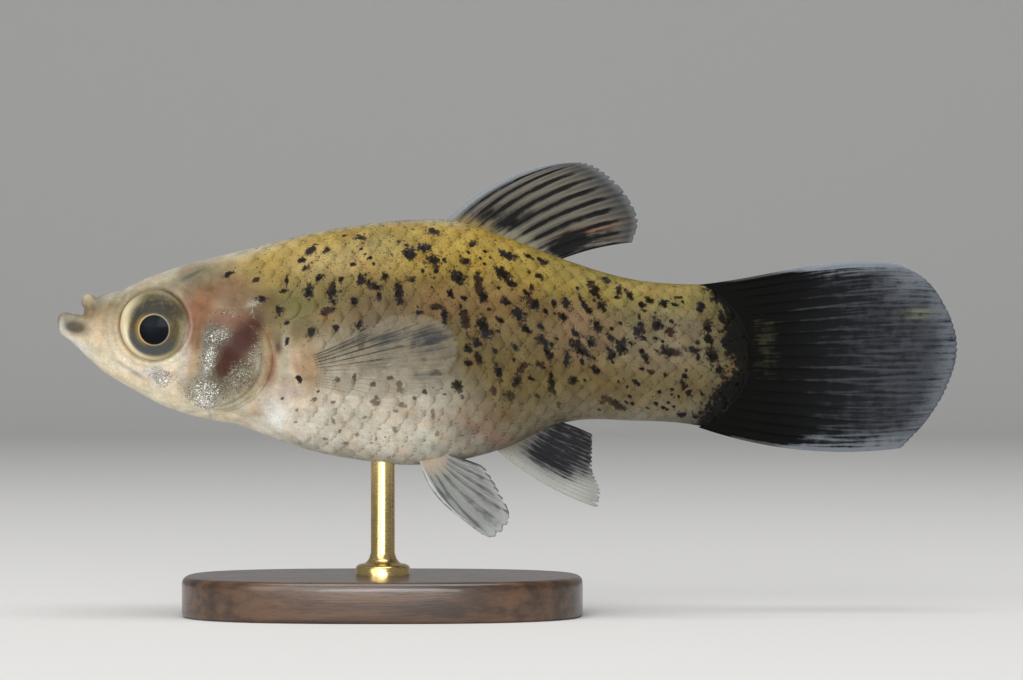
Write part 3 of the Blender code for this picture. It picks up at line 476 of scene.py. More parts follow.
def props(group):
    return getattr(bpy.context.scene, "platyfish_" + group)


# Curves and smooth steps

def curve(table, at, column=1):
    """A smooth curve through one column of a table, read at an array of places."""
    rows = np.array(table, dtype=float)
    xs, ys = rows[:, 0], rows[:, column]
    steps = np.diff(xs)
    rises = np.diff(ys) / steps
    slopes = np.empty(len(xs))
    slopes[1:-1] = (rises[:-1] * steps[1:] + rises[1:] * steps[:-1]) / (steps[1:] + steps[:-1])
    slopes[0], slopes[-1] = rises[0], rises[-1]
    at = np.clip(at, xs[0], xs[-1])
    k = np.clip(np.searchsorted(xs, at, side="right") - 1, 0, len(steps) - 1)
    t = (at - xs[k]) / steps[k]
    start = (1 + 2 * t) * (1 - t) ** 2 * ys[k] + t * (1 - t) ** 2 * steps[k] * slopes[k]
    end = t * t * (3 - 2 * t) * ys[k + 1] + t * t * (t - 1) * steps[k] * slopes[k + 1]
    return start + end


def straight(table, at):
    return np.interp(at, [row[0] for row in table], [row[1] for row in table])


def smooth(at, low, high):
    """0 at low and 1 at high, with soft ends. low may be the larger of the two."""
    t = np.clip((np.asarray(at, dtype=float) - low) / (high - low), 0.0, 1.0)
    return t * t * (3 - 2 * t)


def bump(at, centre, width):
    return np.exp(-(((at - centre) / width) ** 2))


def blob(s, h, centre_s, centre_h, half_s, half_h, lean=0.0):
    """A soft ellipse: 1 in its middle and about 0.4 at its edge. lean is clockwise, in degrees."""
    turn = math.radians(lean)
    ds, dh = s - centre_s, h - centre_h
    along = ds * math.cos(turn) - dh * math.sin(turn)
    over = ds * math.sin(turn) + dh * math.cos(turn)
    return np.exp(-((along / half_s) ** 2) - (over / half_h) ** 2)


def strongest(s, h, ellipses, gain=1.0):
    """The strongest of several soft ellipses at each place. Each one's last number is its strength."""
    found = np.zeros(len(s))
    for *ellipse, strength in ellipses:
        found = np.maximum(found, strength * np.minimum(gain * blob(s, h, *ellipse), 1.0))
    return found


def blend(first, second, share):
    """Mixes two colours, or two lists of colours, by a share for each place."""
    share = np.asarray(share)[..., None]
    return np.asarray(first) * (1 - share) + np.asarray(second) * share


# The body's surface

class BodySurface:
    """The smooth outer surface of head and trunk. girth is 0 on the back's ridge, 1 on the keel."""

    STATION_STEP = 0.2
    STATIONS = np.arange(1.9, 43.4, STATION_STEP)
    TURNS = np.linspace(math.pi / 2, -math.pi / 2, 161)
    GIRTHS = np.linspace(0.0, 1.0, 101)

    def __init__(self):
        s, t = np.meshgrid(self.STATIONS, self.TURNS, indexing="ij")
        y, h = self.across_height(s, t)
        lengths = np.hypot(np.diff(y, axis=1), np.diff(h, axis=1))
        run = np.concatenate([np.zeros((len(s), 1)), np.cumsum(lengths, axis=1)], axis=1)
        self.side_length = run[:, -1]
        share = run / run[:, -1:]
        self.turn_table = np.array([np.interp(self.GIRTHS, row, self.TURNS) for row in share])
        self.girth_table = share

    def shape(self, s):
        """Back, belly, half width, widest level and the back's squareness, at distances back."""
        past = s - TAIL_ARC_CENTRE
        chord = np.where(past > 0, np.sqrt(np.maximum(TAIL_ARC_RADIUS**2 - past**2, 0.01)), 99.0)
        top = np.minimum(curve(BODY, s, TOP), TAIL_ARC_LEVEL + chord)
        foot = np.maximum(curve(BODY, s, FOOT), TAIL_ARC_LEVEL - chord)
        room = 0.3 * (top - foot)
        level = np.clip(straight(WIDEST_LEVEL, s), foot + room, top - room)
        return top, foot, curve(BODY, s, HALF), level, straight(BACK_SQUARENESS, s)

    def across_height(self, s, turn):
        """Distance across and height at a turn, which is +90 degrees on the back, -90 on the belly."""
        top, foot, half, level, back_power = self.shape(s)
        above = np.sin(turn) > 0
        power = np.where(above, back_power, BELLY_SQUARENESS)
        reach = np.where(above, top - level, level - foot)
        y = half * np.abs(np.cos(turn)) ** (2 / power)
        h = level + reach * np.sign(np.sin(turn)) * np.abs(np.sin(turn)) ** (2 / power)
        inside = TAIL_ARC_CENTRE - s
        inside = inside + np.sqrt(np.maximum(TAIL_ARC_RADIUS**2 - (h - TAIL_ARC_LEVEL) ** 2, 0.0))
        taper = np.clip(inside / TAIL_TAPER, 0.0, 1.0)
        taper = np.sqrt(taper * (2 - taper))
        rim = np.clip(3.0 * y / half, 0.0, 1.0)
        return np.maximum(y * taper, TAIL_ROOT_HALF * rim * (taper < 1)), h

    def turn_of(self, s, y, h):
        """The turn of the surface's place that lies in the direction of a point."""
        top, foot, half, level, back_power = self.shape(s)
        above = h > level
        power = np.where(above, back_power, BELLY_SQUARENESS)
        reach = np.where(above, top - level, level - foot)
        up = (np.abs(h - level) / reach) ** (power / 2)
        out = (np.abs(y) / half) ** (power / 2)
        return np.arctan2(np.where(above, up, -up), out)

    def read(self, table, s, share):
        """Reads a table of stations by columns between its entries."""
        i = np.clip((s - self.STATIONS[0]) / self.STATION_STEP, 0, len(self.STATIONS) - 1.001)
        j = np.clip(share, 0, table.shape[1] - 1.001)
        i0, j0 = i.astype(int), j.astype(int)
        fi, fj = i - i0, j - j0
        low = table[i0, j0] * (1 - fj) + table[i0, j0 + 1] * fj
        high = table[i0 + 1, j0] * (1 - fj) + table[i0 + 1, j0 + 1] * fj
        return low * (1 - fi) + high * fi

    def girth_of(self, s, turn):
        column = (math.pi / 2 - turn) / math.pi * (len(self.TURNS) - 1)
        return self.read(self.girth_table, s, column)

    def girth_seen(self, s, h):
        """The girth of the place that is seen from the side at a height."""
        top, foot, half, level, back_power = self.shape(s)
        h = np.clip(h, foot + 0.02, top - 0.02)
        above = h > level
        power = np.where(above, back_power, BELLY_SQUARENESS)
        reach = np.where(above, top - level, level - foot)
        y = half * (1 - (np.abs(h - level) / reach) ** power) ** (1 / power)
        return self.girth_of(s, self.turn_of(s, y, h))

    def length_of(self, s):
        """Length round one side, from ridge to keel."""
        return np.interp(s, self.STATIONS, self.side_length)

    def point(self, s, girth, side):
        """Points on the skin. A girth under 0 or over 1 passes over the ridge or keel to the other side."""
        over = (girth < 0) | (girth > 1)
        folded = np.where(girth < 0, -girth, np.where(girth > 1, 2 - girth, girth))
        turn = self.read(self.turn_table, s, folded * (len(self.GIRTHS) - 1))
        y, h = self.across_height(s, turn)
        return np.stack([s, np.where(over, -side, side) * y, h], axis=-1)

    def normal(self, s, girth, side):
        """Unit normals that point out of the skin."""
        step = 0.05
        along = self.point(s + step, girth, side) - self.point(s - step, girth, side)
        round_side = self.point(s, girth + 0.01, side) - self.point(s, girth - 0.01, side)
        out = np.cross(along, round_side) * side
        return out / np.maximum(np.linalg.norm(out, axis=-1, keepdims=True), 1e-9)


SURFACE = BodySurface()


# Meshes and objects

def select_nothing():
    """Deselects everything, because an operator acts on all that is selected."""
    for other in bpy.context.selected_objects:
        other.select_set(False)


def select_only(thing):
    select_nothing()
    thing.select_set(True)
    bpy.context.view_layer.objects.active = thing


def modify(thing, kind, **settings):
    """Adds a modifier and applies it."""
    select_only(thing)
    step = thing.modifiers.new("shape", kind)
    for key, value in settings.items():
        setattr(step, key, value)
    bpy.ops.object.modifier_apply(modifier=step.name)
    return thing


def new_object(name, data):
    made = bpy.data.objects.new(name, data)
    bpy.context.scene.collection.objects.link(made)
    return made


def mesh_piece(name, points, faces, edges=(), outward=True):
    mesh = bpy.data.meshes.new(name)
    mesh.from_pydata(np.asarray(points).tolist(), edges, faces)
    if outward:
        shape = bmesh.new()
        shape.from_mesh(mesh)
        bmesh.ops.recalc_face_normals(shape, faces=shape.faces)
        shape.to_mesh(mesh)
        shape.free()
    return new_object(name, mesh)


def vertex_array(piece):
    found = np.empty(len(piece.data.vertices) * 3)
    piece.data.vertices.foreach_get("co", found)
    return found.reshape(-1, 3)


def set_vertices(piece, points):
    piece.data.vertices.foreach_set("co", np.ascontiguousarray(points, dtype=np.float32).ravel())
    piece.data.update()


def normal_array(piece):
    found = np.empty(len(piece.data.vertices) * 3)
    piece.data.vertex_normals.foreach_get("vector", found)
    return found.reshape(-1, 3)


def give_colour(piece, name, values):
    """Stores a colour for each vertex, or one colour for all."""
    layer = piece.data.color_attributes.new(name, "FLOAT_COLOR", "POINT")
    rgba = np.ones((len(piece.data.vertices), 4), dtype=np.float32)
    rgba[:, :3] = values
    layer.data.foreach_set("color", rgba.ravel())


def give_value(piece, name, values):
    """Stores a number for each vertex, or one number for all."""
    layer = piece.data.attributes.new(name, "FLOAT", "POINT")
    layer.data.foreach_set("value", np.full(len(piece.data.vertices), values, dtype=np.float32))


def give_map(piece, name, per_corner):
    """Stores a UV map from one (u, v) for each corner of each face."""
    layer = piece.data.uv_layers.new(name=name)
    layer.data.foreach_set("uv", np.ascontiguousarray(per_corner, dtype=np.float32).ravel())


def corner_vertices(piece):
    found = np.empty(len(piece.data.loops), dtype=np.int64)
    piece.data.loops.foreach_get("vertex_index", found)
    return found


def face_corners(piece):
    """The vertex at each corner of the faces, and each face's first corner and number of corners."""
    corners = corner_vertices(piece)
    starts = np.empty(len(piece.data.polygons), dtype=np.int64)
    piece.data.polygons.foreach_get("loop_start", starts)
    return corners, starts, np.diff(np.append(starts, len(corners)))


def loft(name, rings):
    """A closed solid through rings of equal count."""
    size = len(rings[0])
    faces = [tuple(range(size)), tuple(range((len(rings) - 1) * size, len(rings) * size))]
    for row in range(len(rings) - 1):
        for k in range(size):
            a, b = row * size + k, row * size + (k + 1) % size
            faces.append((a, b, b + size, a + size))
    return mesh_piece(name, np.concatenate(rings), faces)


def settle(piece, slot, *nodes, material, to_frame=FISH_TO_FRAME, crease=None):
    """Brings a finished piece from its millimetres into the frame, gives it its material and hides the
    parts it replaces. Edges sharper than the crease stay sharp."""
    piece.data.transform(to_frame)
    piece.data.update()
    select_only(piece)
    if crease:
        bpy.ops.object.shade_smooth_by_angle(angle=crease)
    else:
        bpy.ops.object.shade_smooth()
    piece.data.materials.clear()
    piece.data.materials.append(material)
    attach(piece, "root")
    if nodes:
        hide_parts(*nodes)


# Materials

class Finish:
    """A material that is put together node by node."""

    def __init__(self, name):
        self.material = bpy.data.materials.new(name)
        self.material.use_nodes = True
        self.tree = self.material.node_tree
        self.shader = self.tree.nodes["Principled BSDF"]

    def node(self, kind, inputs=None, **settings):
        """Adds a node with its settings, and feeds its inputs by name."""
        made = self.tree.nodes.new(kind)
        for key, value in settings.items():
            setattr(made, key, value)
        for key, value in (inputs or {}).items():
            self.feed(made.inputs[key], value)
        return made

    def feed(self, socket, value):
        """Links an output to a socket, or sets the socket to a plain value."""
        if isinstance(value, bpy.types.NodeSocket):
            self.tree.links.new(value, socket)
        elif hasattr(value, "__len__"):
            given = tuple(value)
            socket.default_value = (*given, 1.0) if len(socket.default_value) == 4 else given
        else:
            socket.default_value = value

    def set(self, **inputs):
        """Feeds inputs of the shader, whose own names have spaces for the underscores."""
        for name, value in inputs.items():
            self.feed(self.shader.inputs[name.replace("_", " ")], value)

    def maths(self, operation, first, second=0.0, third=0.0):
        made = self.node("ShaderNodeMath", operation=operation)
        for socket, value in zip(made.inputs, (first, second, third)):
            self.feed(socket, value)
        return made.outputs[0]

    def plus(self, first, second):
        return self.maths("ADD", first, second)

    def minus(self, first, second):
        return self.maths("SUBTRACT", first, second)

    def times(self, first, second):
        return self.maths("MULTIPLY", first, second)

    def step(self, value, low, high, start=0.0, end=1.0):
        """Runs from start at low to end at high, softly."""
        inputs = {"Value": value, "From Min": low, "From Max": high, "To Min": start, "To Max": end}
        return self.node("ShaderNodeMapRange", inputs, interpolation_type="SMOOTHSTEP").outputs[0]

    def mix(self, share, first, second, kind="MIX"):
        inputs = {"Factor": share, "A": first, "B": second}
        made = self.node("ShaderNodeMix", inputs, data_type="RGBA", blend_type=kind)
        return made.outputs["Result"]

    def colour(self, name):
        """A colour that is stored on the mesh."""
        return self.node("ShaderNodeAttribute", attribute_name=name).outputs["Color"]

    def value(self, name):
        """A number that is stored on the mesh."""
        return self.node("ShaderNodeAttribute", attribute_name=name).outputs["Fac"]

    def stretched(self, place, scale):
        return self.node("ShaderNodeMapping", {"Scale": scale, "Vector": place}).outputs["Vector"]

    def millimetres(self, stretch=(1.0, 1.0, 1.0)):
        """Object coordinates in millimetres, stretched along the axes."""
        place = self.node("ShaderNodeTexCoord").outputs["Object"]
        return self.stretched(place, [share / MM for share in stretch])

    def uv(self, name, stretch=(1.0, 1.0, 1.0)):
        return self.stretched(self.node("ShaderNodeUVMap", uv_map=name).outputs["UV"], stretch)

    def noise(self, vector, scale, detail=2.0, rough=0.5):
        inputs = {"Vector": vector, "Scale": scale, "Detail": detail, "Roughness": rough}
        return self.node("ShaderNodeTexNoise", inputs).outputs["Fac"]

    def cells(self, vector, scale):
        made = self.node("ShaderNodeTexVoronoi", {"Vector": vector, "Scale": scale})
        return made.outputs["Distance"], made.outputs["Color"]

    def split(self, vector):
        return self.node("ShaderNodeSeparateXYZ", {"Vector": vector}).outputs

    def two_parts(self, colour_socket):
        """The first two parts of a colour, as two numbers by chance for each cell."""
        return self.node("ShaderNodeSeparateColor", {"Color": colour_socket}).outputs[:2]

    def bumps(self, height, distance, strength=1.0):
        """Bumps from a height, whose full range stands for a distance in mm."""
        inputs = {"Strength": strength, "Distance": distance * MM, "Height": height}
        self.set(Normal=self.node("ShaderNodeBump", inputs).outputs[0])


def flecks(finish, place, scale, reach, wanted):
    """Scattered dots: cells of a size, each with a dot where its chance is under the wanted share."""
    distance, cell = finish.cells(place, scale)
    chance, size = finish.two_parts(cell)
    dot = finish.step(finish.minus(distance, finish.times(size, reach)), 0.1, 0.0)
    return finish.times(dot, finish.step(finish.minus(wanted, chance), 0.0, 0.05))


def hide_finish(name, plates):
    """Moist fish skin: a painted ground with mottling, dark spots and specks, and silver with painted
    glints in places.
    """
    hide = props("hide")
    finish = Finish(name)
    place = finish.millimetres()

    # The ground, with darker edges on the scales
    ground = finish.colour("ground")
    mottle = finish.noise(place, 1.1, 4.0, 0.6)
    ground = finish.mix(finish.step(mottle, 0.3, 0.7, 0.3, 0.0), ground, (0.0, 0.0, 0.0))
    patches = finish.step(finish.noise(place, 0.7, 3.0, 0.6), 0.45, 0.68, 0.0, 0.55)
    ground = finish.mix(patches, ground, (0.95, 0.76, 0.6), "MULTIPLY")
    grain = finish.noise(place, 9.0, 3.0, 0.6)
    ground = finish.mix(finish.step(grain, 0.35, 0.75, 0.2, 0.0), ground, (0.04, 0.028, 0.01))
    if plates:
        local = finish.split(finish.uv("plate"))
        margin = finish.plus(local[0], finish.step(mottle, 0.3, 0.7, 0.0, 0.26))
        margin = finish.plus(margin, finish.step(grain, 0.3, 0.7, -0.08, 0.08))
        margin = finish.times(finish.step(margin, 0.86, 1.2), finish.value("outline"))
        ground = finish.mix(margin, ground, hide.olive)

    # Specks of three sizes
    wanted = finish.value("speck")
    clump = finish.step(finish.noise(place, 1.3, 2.0, 0.5), 0.42, 0.62, 0.25, 2.0)
    painted = ground
    for scale, reach, share in ((2.3, 0.26, 0.6), (4.4, 0.27, 0.9), (9.0, 0.36, 1.9)):
        here = finish.times(finish.times(wanted, share), clump)
        fleck = finish.times(flecks(finish, place, scale, reach, here), 0.85)
        painted = finish.mix(fleck, painted, hide.spot_edge)

    # Ragged dark spots, and the black of the tail's root
    field = finish.value("spot")
    for stored in SPOT_MARKS:
        mark = finish.node("ShaderNodeAttribute", attribute_name=stored).outputs["Vector"]
        length = finish.node("ShaderNodeVectorMath", {"Vector": mark}, operation="LENGTH")
        depth = finish.maths("MULTIPLY_ADD", length.outputs["Value"], -0.86, 1.05)
        field = finish.maths("MAXIMUM", field, depth)
    ragged = finish.noise(place, 3.4, 4.0, 0.7)
    field = finish.plus(field, finish.step(ragged, 0.2, 0.8, -0.68, 0.68))
    field = finish.plus(field, finish.step(grain, 0.3, 0.7, -0.14, 0.14))
    hue = finish.noise(place, 0.9, 1.0, 0.5)
    tone = finish.mix(finish.step(hue, 0.36, 0.44), hide.spot_edge, hide.spot)
    tone = finish.mix(finish.step(hue, 0.54, 0.62, 0.0, 0.8), tone, hide.spot_blue)
    tone = finish.mix(finish.step(finish.value("spot"), -0.4, 0.1), tone, hide.soot)
    ink = finish.mix(finish.step(field, 0.0, 0.6), hide.spot_edge, tone)
    shown = finish.times(finish.step(field, -0.16, 0.34), finish.value("strength"))
    painted = finish.mix(shown, painted, ink)

    # Silver flakes of the cheek and the gill cover; the brightest ones are painted glints
    _, flake = finish.cells(place, 17.0)
    shade, chance = finish.two_parts(flake)
    glitter = finish.value("glitter")
    shade = finish.plus(shade, finish.step(glitter, 0.3, 1.3, -0.22, 0.3))
    flakes_and_painted_glints = finish.mix(finish.step(shade, 0.1, 0.9), (0.11, 0.10, 0.07), (0.36, 0.35, 0.29))
    # The brightest flakes turn near white: painted glints
    flakes_and_painted_glints = finish.mix(finish.step(shade, 0.9, 1.0), flakes_and_painted_glints, (0.9, 0.9, 0.85))
    flakes_and_painted_glints = finish.mix(finish.step(shade, 0.1, -0.1), flakes_and_painted_glints, (0.02, 0.02, 0.015))
    glint = finish.step(finish.minus(glitter, chance), -0.1, 0.45)
    glint = finish.times(glint, finish.step(glitter, 0.02, 0.2))
    painted = finish.mix(finish.times(glint, 0.92), painted, flakes_and_painted_glints)

    finish.set(Base_Color=painted, Roughness=finish.step(grain, 0.3, 0.7, 0.36, 0.5))
    finish.set(Specular_IOR_Level=finish.step(field, 0.0, 0.8, 0.1, 0.03))
    finish.set(Coat_Weight=0.03, Coat_Roughness=0.15)
    finish.set(Subsurface_Weight=finish.step(field, 0.0, 0.6, 0.2, 0.02))
    finish.set(Subsurface_Radius=(1.0, 0.5, 0.25), Subsurface_Scale=0.25 * MM)
    height = finish.plus(finish.times(grain, 0.5), finish.times(mottle, 0.5))
    finish.bumps(height, 0.05, 0.5)
    return finish.material


# Paint for skin, scales and gill covers

def ground_colour(s, h, girth):
    """The painted ground of the skin, before spots."""
    hide = props("hide")
    rise = 1.0 - girth
    rearward = smooth(s, 25.0, 36.0)
    back = blend(hide.gold, hide.dull_gold, rearward)
    low = blend(hide.cream, hide.low_rear, smooth(s, 20.0, 29.0))
    edge = 0.44 - 0.3 * smooth(s, 21.0, 30.0)
    ground = blend(low, hide.tan, smooth(rise, edge - 0.16, edge + 0.2))
    ground = blend(ground, back, smooth(rise, 0.64, 0.84))
    # A pale grey line along the top of the back, from the nape to the back fin: painted rim light along
    # that edge
    ground = blend(ground, hide.ridge, 0.7 * smooth(rise, 0.92, 0.975) * smooth(s, 26.5, 24.0))
    head = smooth(s, 13.4, 8.6)
    face = blend(hide.cheek, hide.crown, smooth(rise, 0.5, 0.8))
    ground = blend(ground, face, head)
    # The rim of the eye's socket gets painted light and shade: a painted highlight low in front, painted
    # shade above and behind
    from_eye = np.hypot(s - EYE_BACK, h - EYE_HEIGHT)
    socket_painted_shade = smooth((s - EYE_BACK) + (h - EYE_HEIGHT), -1.0, 1.5)
    socket = blend((0.42, 0.36, 0.22), (0.14, 0.12, 0.07), socket_painted_shade)
    ground = blend(ground, socket, 0.9 * smooth(from_eye, 2.42, 2.2))
    for *ellipse, strength, name in WASHES:
        share = 1.25 * strength * blob(s, h, *ellipse)
        ground = blend(ground, getattr(hide, name), np.clip(share, 0.0, strength))
    return ground


def spot_table(side):
    """Each spot's place on the skin in mm (back, down from the ridge), its half sizes and its lean. The
    right side's spots are those of the left, each moved a little by chance."""
    random = np.random.default_rng(7)
    rows = []
    for across, down, half_s, half_h, *lean in SPOTS:
        at, height = photo_place(across, down, SPOT_OUT)
        shift = random.normal(0.0, SPOT_SHIFT, 2) * (side > 0)
        at = at + shift[0]
        half = (half_s / PIXELS_PER_MM, half_h / PIXELS_PER_MM)
        turn = math.radians(lean[0]) if lean else 0.0
        rows.append((at, mm_from_ridge(at, height) + shift[1], *half, turn))
    return np.array(rows)


def in_spot(spots, s, girth_mm):
    """A place measured from the middle of a spot, along and over it, in the spot's own half sizes."""
    at, down, half_s, half_h, turn = np.moveaxis(spots, -1, 0)
    ds, dg = s - at, girth_mm - down
    along = (ds * np.cos(turn) + dg * np.sin(turn)) / half_s
    over = (dg * np.cos(turn) - ds * np.sin(turn)) / half_h
    return along, over


def mark_spots(piece, s, girth_mm, side):
    """Gives each face its three nearest spots. Each of its corners holds its place in them, which the
    material turns into round spots, so that small ones keep their shape on coarse faces."""
    corners, starts, sizes = face_corners(piece)
    middle_s, middle_g, middle_side = (
        np.add.reduceat(values[corners], starts) / sizes for values in (s, girth_mm, np.sign(side))
    )
    marks = np.full((len(SPOT_MARKS), len(corners), 3), NO_SPOT)
    for one_side in (-1, 1):
        spots = spot_table(one_side)
        nearest = np.full((len(SPOT_MARKS), len(starts)), NO_SPOT)
        index = np.full((len(SPOT_MARKS), len(starts)), -1)
        mine = middle_side * one_side > 0
        for k, spot in enumerate(spots):
            close = (np.abs(middle_s - spot[0]) < SPOT_REACH) & (np.abs(middle_g - spot[1]) < SPOT_REACH)
            near = np.flatnonzero(mine & close)
            far = np.hypot(*in_spot(spot, middle_s[near], middle_g[near])) - 1.0
            far = far * min(spot[2], spot[3])
            both = np.concatenate([nearest[:, near], far[None]])
            order = np.argsort(both, axis=0)[:len(SPOT_MARKS)]
            candidates = np.concatenate([index[:, near], np.full((1, len(near)), k)])
            nearest[:, near] = np.take_along_axis(both, order, axis=0)
            index[:, near] = np.take_along_axis(candidates, order, axis=0)
        for mark, found in zip(marks, index):
            each = np.repeat(found, sizes)
            known = each >= 0
            places = corners[known]
            along, over = in_spot(spots[each[known]], s[places], girth_mm[places])
            mark[known] = np.stack([along, over, np.zeros(len(along))], axis=1)
    for name, mark in zip(SPOT_MARKS, marks):
        given = piece.data.attributes.new(name, "FLOAT_VECTOR", "CORNER")
        given.data.foreach_set("vector", mark.ravel())


def silver(s, h):
    """How much silver, with its painted glints, lies on the cheek and the gill cover. Two dark patches have
    less.
    """
    shine = strongest(s, h, SILVER, gain=1.3)
    shine -= 0.75 * blob(s, h, 11.75, 0.0, 0.65, 0.8, 15) + 0.45 * blob(s, h, 10.55, -1.75, 0.35, 0.5)
    return np.clip(shine, 0.0, 1.3)


def soot_field(s, h):
    """Black of the tail's root as a spot: it starts further forward above and below than in the middle."""
    start = curve(SOOT_START, h)
    return np.clip((s - start) / 0.8, -1.0, 1.0) * (1 - 0.35 * smooth(h, -2.8, -4.0))


def mm_from_ridge(s, height):
    """How far down its side, in mm from the back's ridge, a place seen from the side lies."""
    s = np.asarray([s], dtype=float)
    return float((SURFACE.girth_seen(s, height) * SURFACE.length_of(s))[0])


def paint_hide(piece, s, across, h, girth, shade=None):
    """Gives a piece of skin its ground, spots, specks, and silver with painted glints."""
    ground = ground_colour(s, h, girth)
    if shade is not None:
        ground = ground * shade[:, None]
    give_colour(piece, "ground", ground)
    mark_spots(piece, s, girth * SURFACE.length_of(s), across)
    give_value(piece, "spot", soot_field(s, h))
    give_value(piece, "strength", 0.98 - 0.36 * smooth(h, -2.4, -4.4) * smooth(s, 38.0, 30.0))
    speck = (0.02 + 0.16 * smooth(h, -2.5, 2.0)) * smooth(s, 9.0, 15.0)
    speck = speck + 0.55 * blob(s, h, 21.8, 5.0, 4.6, 1.9)
    speck += 0.14 * blob(s, h, 31.0, 0.6, 8.0, 4.6) + 0.25 * blob(s, h, 41.5, -1.5, 2.5, 3.5)
    give_value(piece, "speck", speck)
    give_value(piece, "glitter", silver(s, h))


def unwrap(s, girth, side):
    """The place of a point of the skin on its unwrap: each side in its own half."""
    u = 0.02 + 0.96 * s / UNWRAP_LENGTH
    v = 0.01 + 0.48 * np.clip(girth, 0.0, 1.0)
    return u, np.where(side > 0, v + 0.5, v)


# Skin

def plain_ball(place, radii):
    """A ball whose place and size are not in its mesh yet."""
    select_nothing()
    bpy.ops.mesh.primitive_uv_sphere_add(segments=32, ring_count=20, radius=1.0, location=place)
    ball = bpy.context.object
    ball.scale = radii
    return ball


def jaw_shell():
    """The lower jaw: a scoop that juts past the upper jaw."""
    rings = []
    turns = np.linspace(0.0, 2 * math.pi, 48, endpoint=False)
    above = np.sin(turns) > 0
    power = np.where(above, JAW_RIM_SQUARENESS, JAW_CHIN_SQUARENESS)
    for back in JAW_RINGS:
        top, foot, half = (float(curve(JAW, back, column)) for column in (TOP, FOOT, HALF))
        level = foot + JAW_WIDEST * (top - foot)
        reach = np.where(above, top - level, level - foot)
        y = half * np.sign(np.cos(turns)) * np.abs(np.cos(turns)) ** (2 / power)
        h = level + reach * np.sign(np.sin(turns)) * np.abs(np.sin(turns)) ** (2 / power)
        rings.append(np.stack([np.full(len(turns), back), y, h], axis=1))
    jaw = loft("jaw", rings)
    bowl = plain_ball(JAW_BOWL_PLACE, JAW_BOWL_RADII)
    modify(jaw, "BOOLEAN", operation="DIFFERENCE", object=bowl, solver="EXACT")
    bpy.data.objects.remove(bowl, do_unlink=True)
    return jaw


def lip_shell():
    """The upper jaw: an oval section swept round the snout, lower at the corners of the mouth."""
    rings = []
    spins = np.linspace(0.0, 2 * math.pi, 20, endpoint=False)
    for turn in np.linspace(-LIP_TURN, LIP_TURN, 41):
        taper = 1 - 0.35 * (turn / LIP_TURN) ** 2
        swell = 1 + 0.12 * math.cos(turn * 3.5)
        out = LIP_THICKNESS * taper * swell * np.cos(spins)
        up = LIP_DEPTH * taper * np.sin(spins)
        s = LIP_FRONT + LIP_REACH_BACK * (1 - math.cos(turn)) - out * math.cos(turn)
        y = LIP_HALF_WIDTH * math.sin(turn) + out * math.sin(turn)
        h = LIP_HEIGHT - LIP_DROP * (1 - math.cos(turn)) ** 1.5 + up
        rings.append(np.stack([s, y, h], axis=1))
    return loft("lip", rings)


def muzzle_shell():
    """The front of the snout between the jaws."""
    muzzle = plain_ball(MUZZLE_PLACE, MUZZLE_RADII)
    bpy.ops.object.transform_apply(location=True, scale=True)
    return muzzle


def body_shell():
    """Head and trunk, as rings of the smooth surface from behind the mouth to the round end."""
    rings = []
    turns = np.linspace(0.0, 2 * math.pi, 128, endpoint=False)
    far_side = np.where(turns < 3 * math.pi / 2, math.pi - turns, turns - 2 * math.pi)
    folded = np.where(turns < math.pi / 2, turns, far_side)
    side = np.where(np.cos(turns) < 0, -1.0, 1.0)
    for s in np.append(np.arange(1.95, 43.0, 0.3), (43.1, 43.22, 43.28)):
        y, h = SURFACE.across_height(np.full(len(turns), s), folded)
        rings.append(np.stack([np.full(len(turns), s), y * side, h], axis=1))
    return loft("fish_skin", rings)


def relief(s, across, h, girth):
    """How far the skin rises or sinks from the smooth surface, in mm."""
    # The rim of the eye's opening
    eye = np.hypot(s - EYE_BACK, h - EYE_HEIGHT)
    lift = 0.14 * smooth(eye, 3.4, 2.4)
    lift += 0.09 * bump(eye, 2.38, 0.13) - 0.03 * bump(eye, 2.72, 0.13) + 0.025 * bump(eye, 3.0, 0.16)
    lift *= smooth(np.abs(across), 0.4, 1.2)

    # The gill opening behind the cover, and the fold in front of it
    start = COVER_FRONT + COVER_CORNER
    rear = np.hypot((s - start) / (COVER_REAR - start), (h - COVER_MIDDLE) / COVER_HALF_HEIGHT)
    behind = (s > start) & (np.abs(h - COVER_MIDDLE) < 5.0)
    lift -= np.where(behind, 0.08 * bump(rear, 1.06, 0.08), 0.0)
    slant = s + 0.05 * h
    on_cheek = smooth(h, 3.4, 2.6) * smooth(h, -4.4, -3.6)
    lift += (0.05 * bump(slant, 8.12, 0.2) - 0.06 * bump(slant, 7.78, 0.14)) * on_cheek

    # The shoulder bone, and the base of the pectoral fin
    lift += 0.12 * bump(s, 14.25, 0.34) * smooth(h, 0.9, 0.0) * smooth(h, -4.6, -3.4)
    lift += 0.28 * blob(s, h, 15.35, -1.9, 0.75, 1.15)

    for pit in PITS:
        lift -= 0.13 * blob(s, h, *pit)
    lift -= 0.035 * blob(s, h, 4.7, -1.86, 1.3, 0.12, 33)

    # Folds of the throat
    throat = smooth(s, 5.5, 7.0) * smooth(s, 12.5, 11.5) * smooth(girth, 0.8, 0.9)
    for k in range(4):
        fold = h + 4.9 - 0.42 * k + 0.06 * (s - 9.5) ** 2
        lift -= 0.035 * bump(fold, 0.0, 0.07) * throat

    ripple = np.sin(s * 2.3 + 1.7 * np.sin(h * 1.9)) * np.sin(h * 2.9 + np.sin(s * 1.3))
    return lift + 0.014 * ripple * smooth(s, 13.0, 9.0)


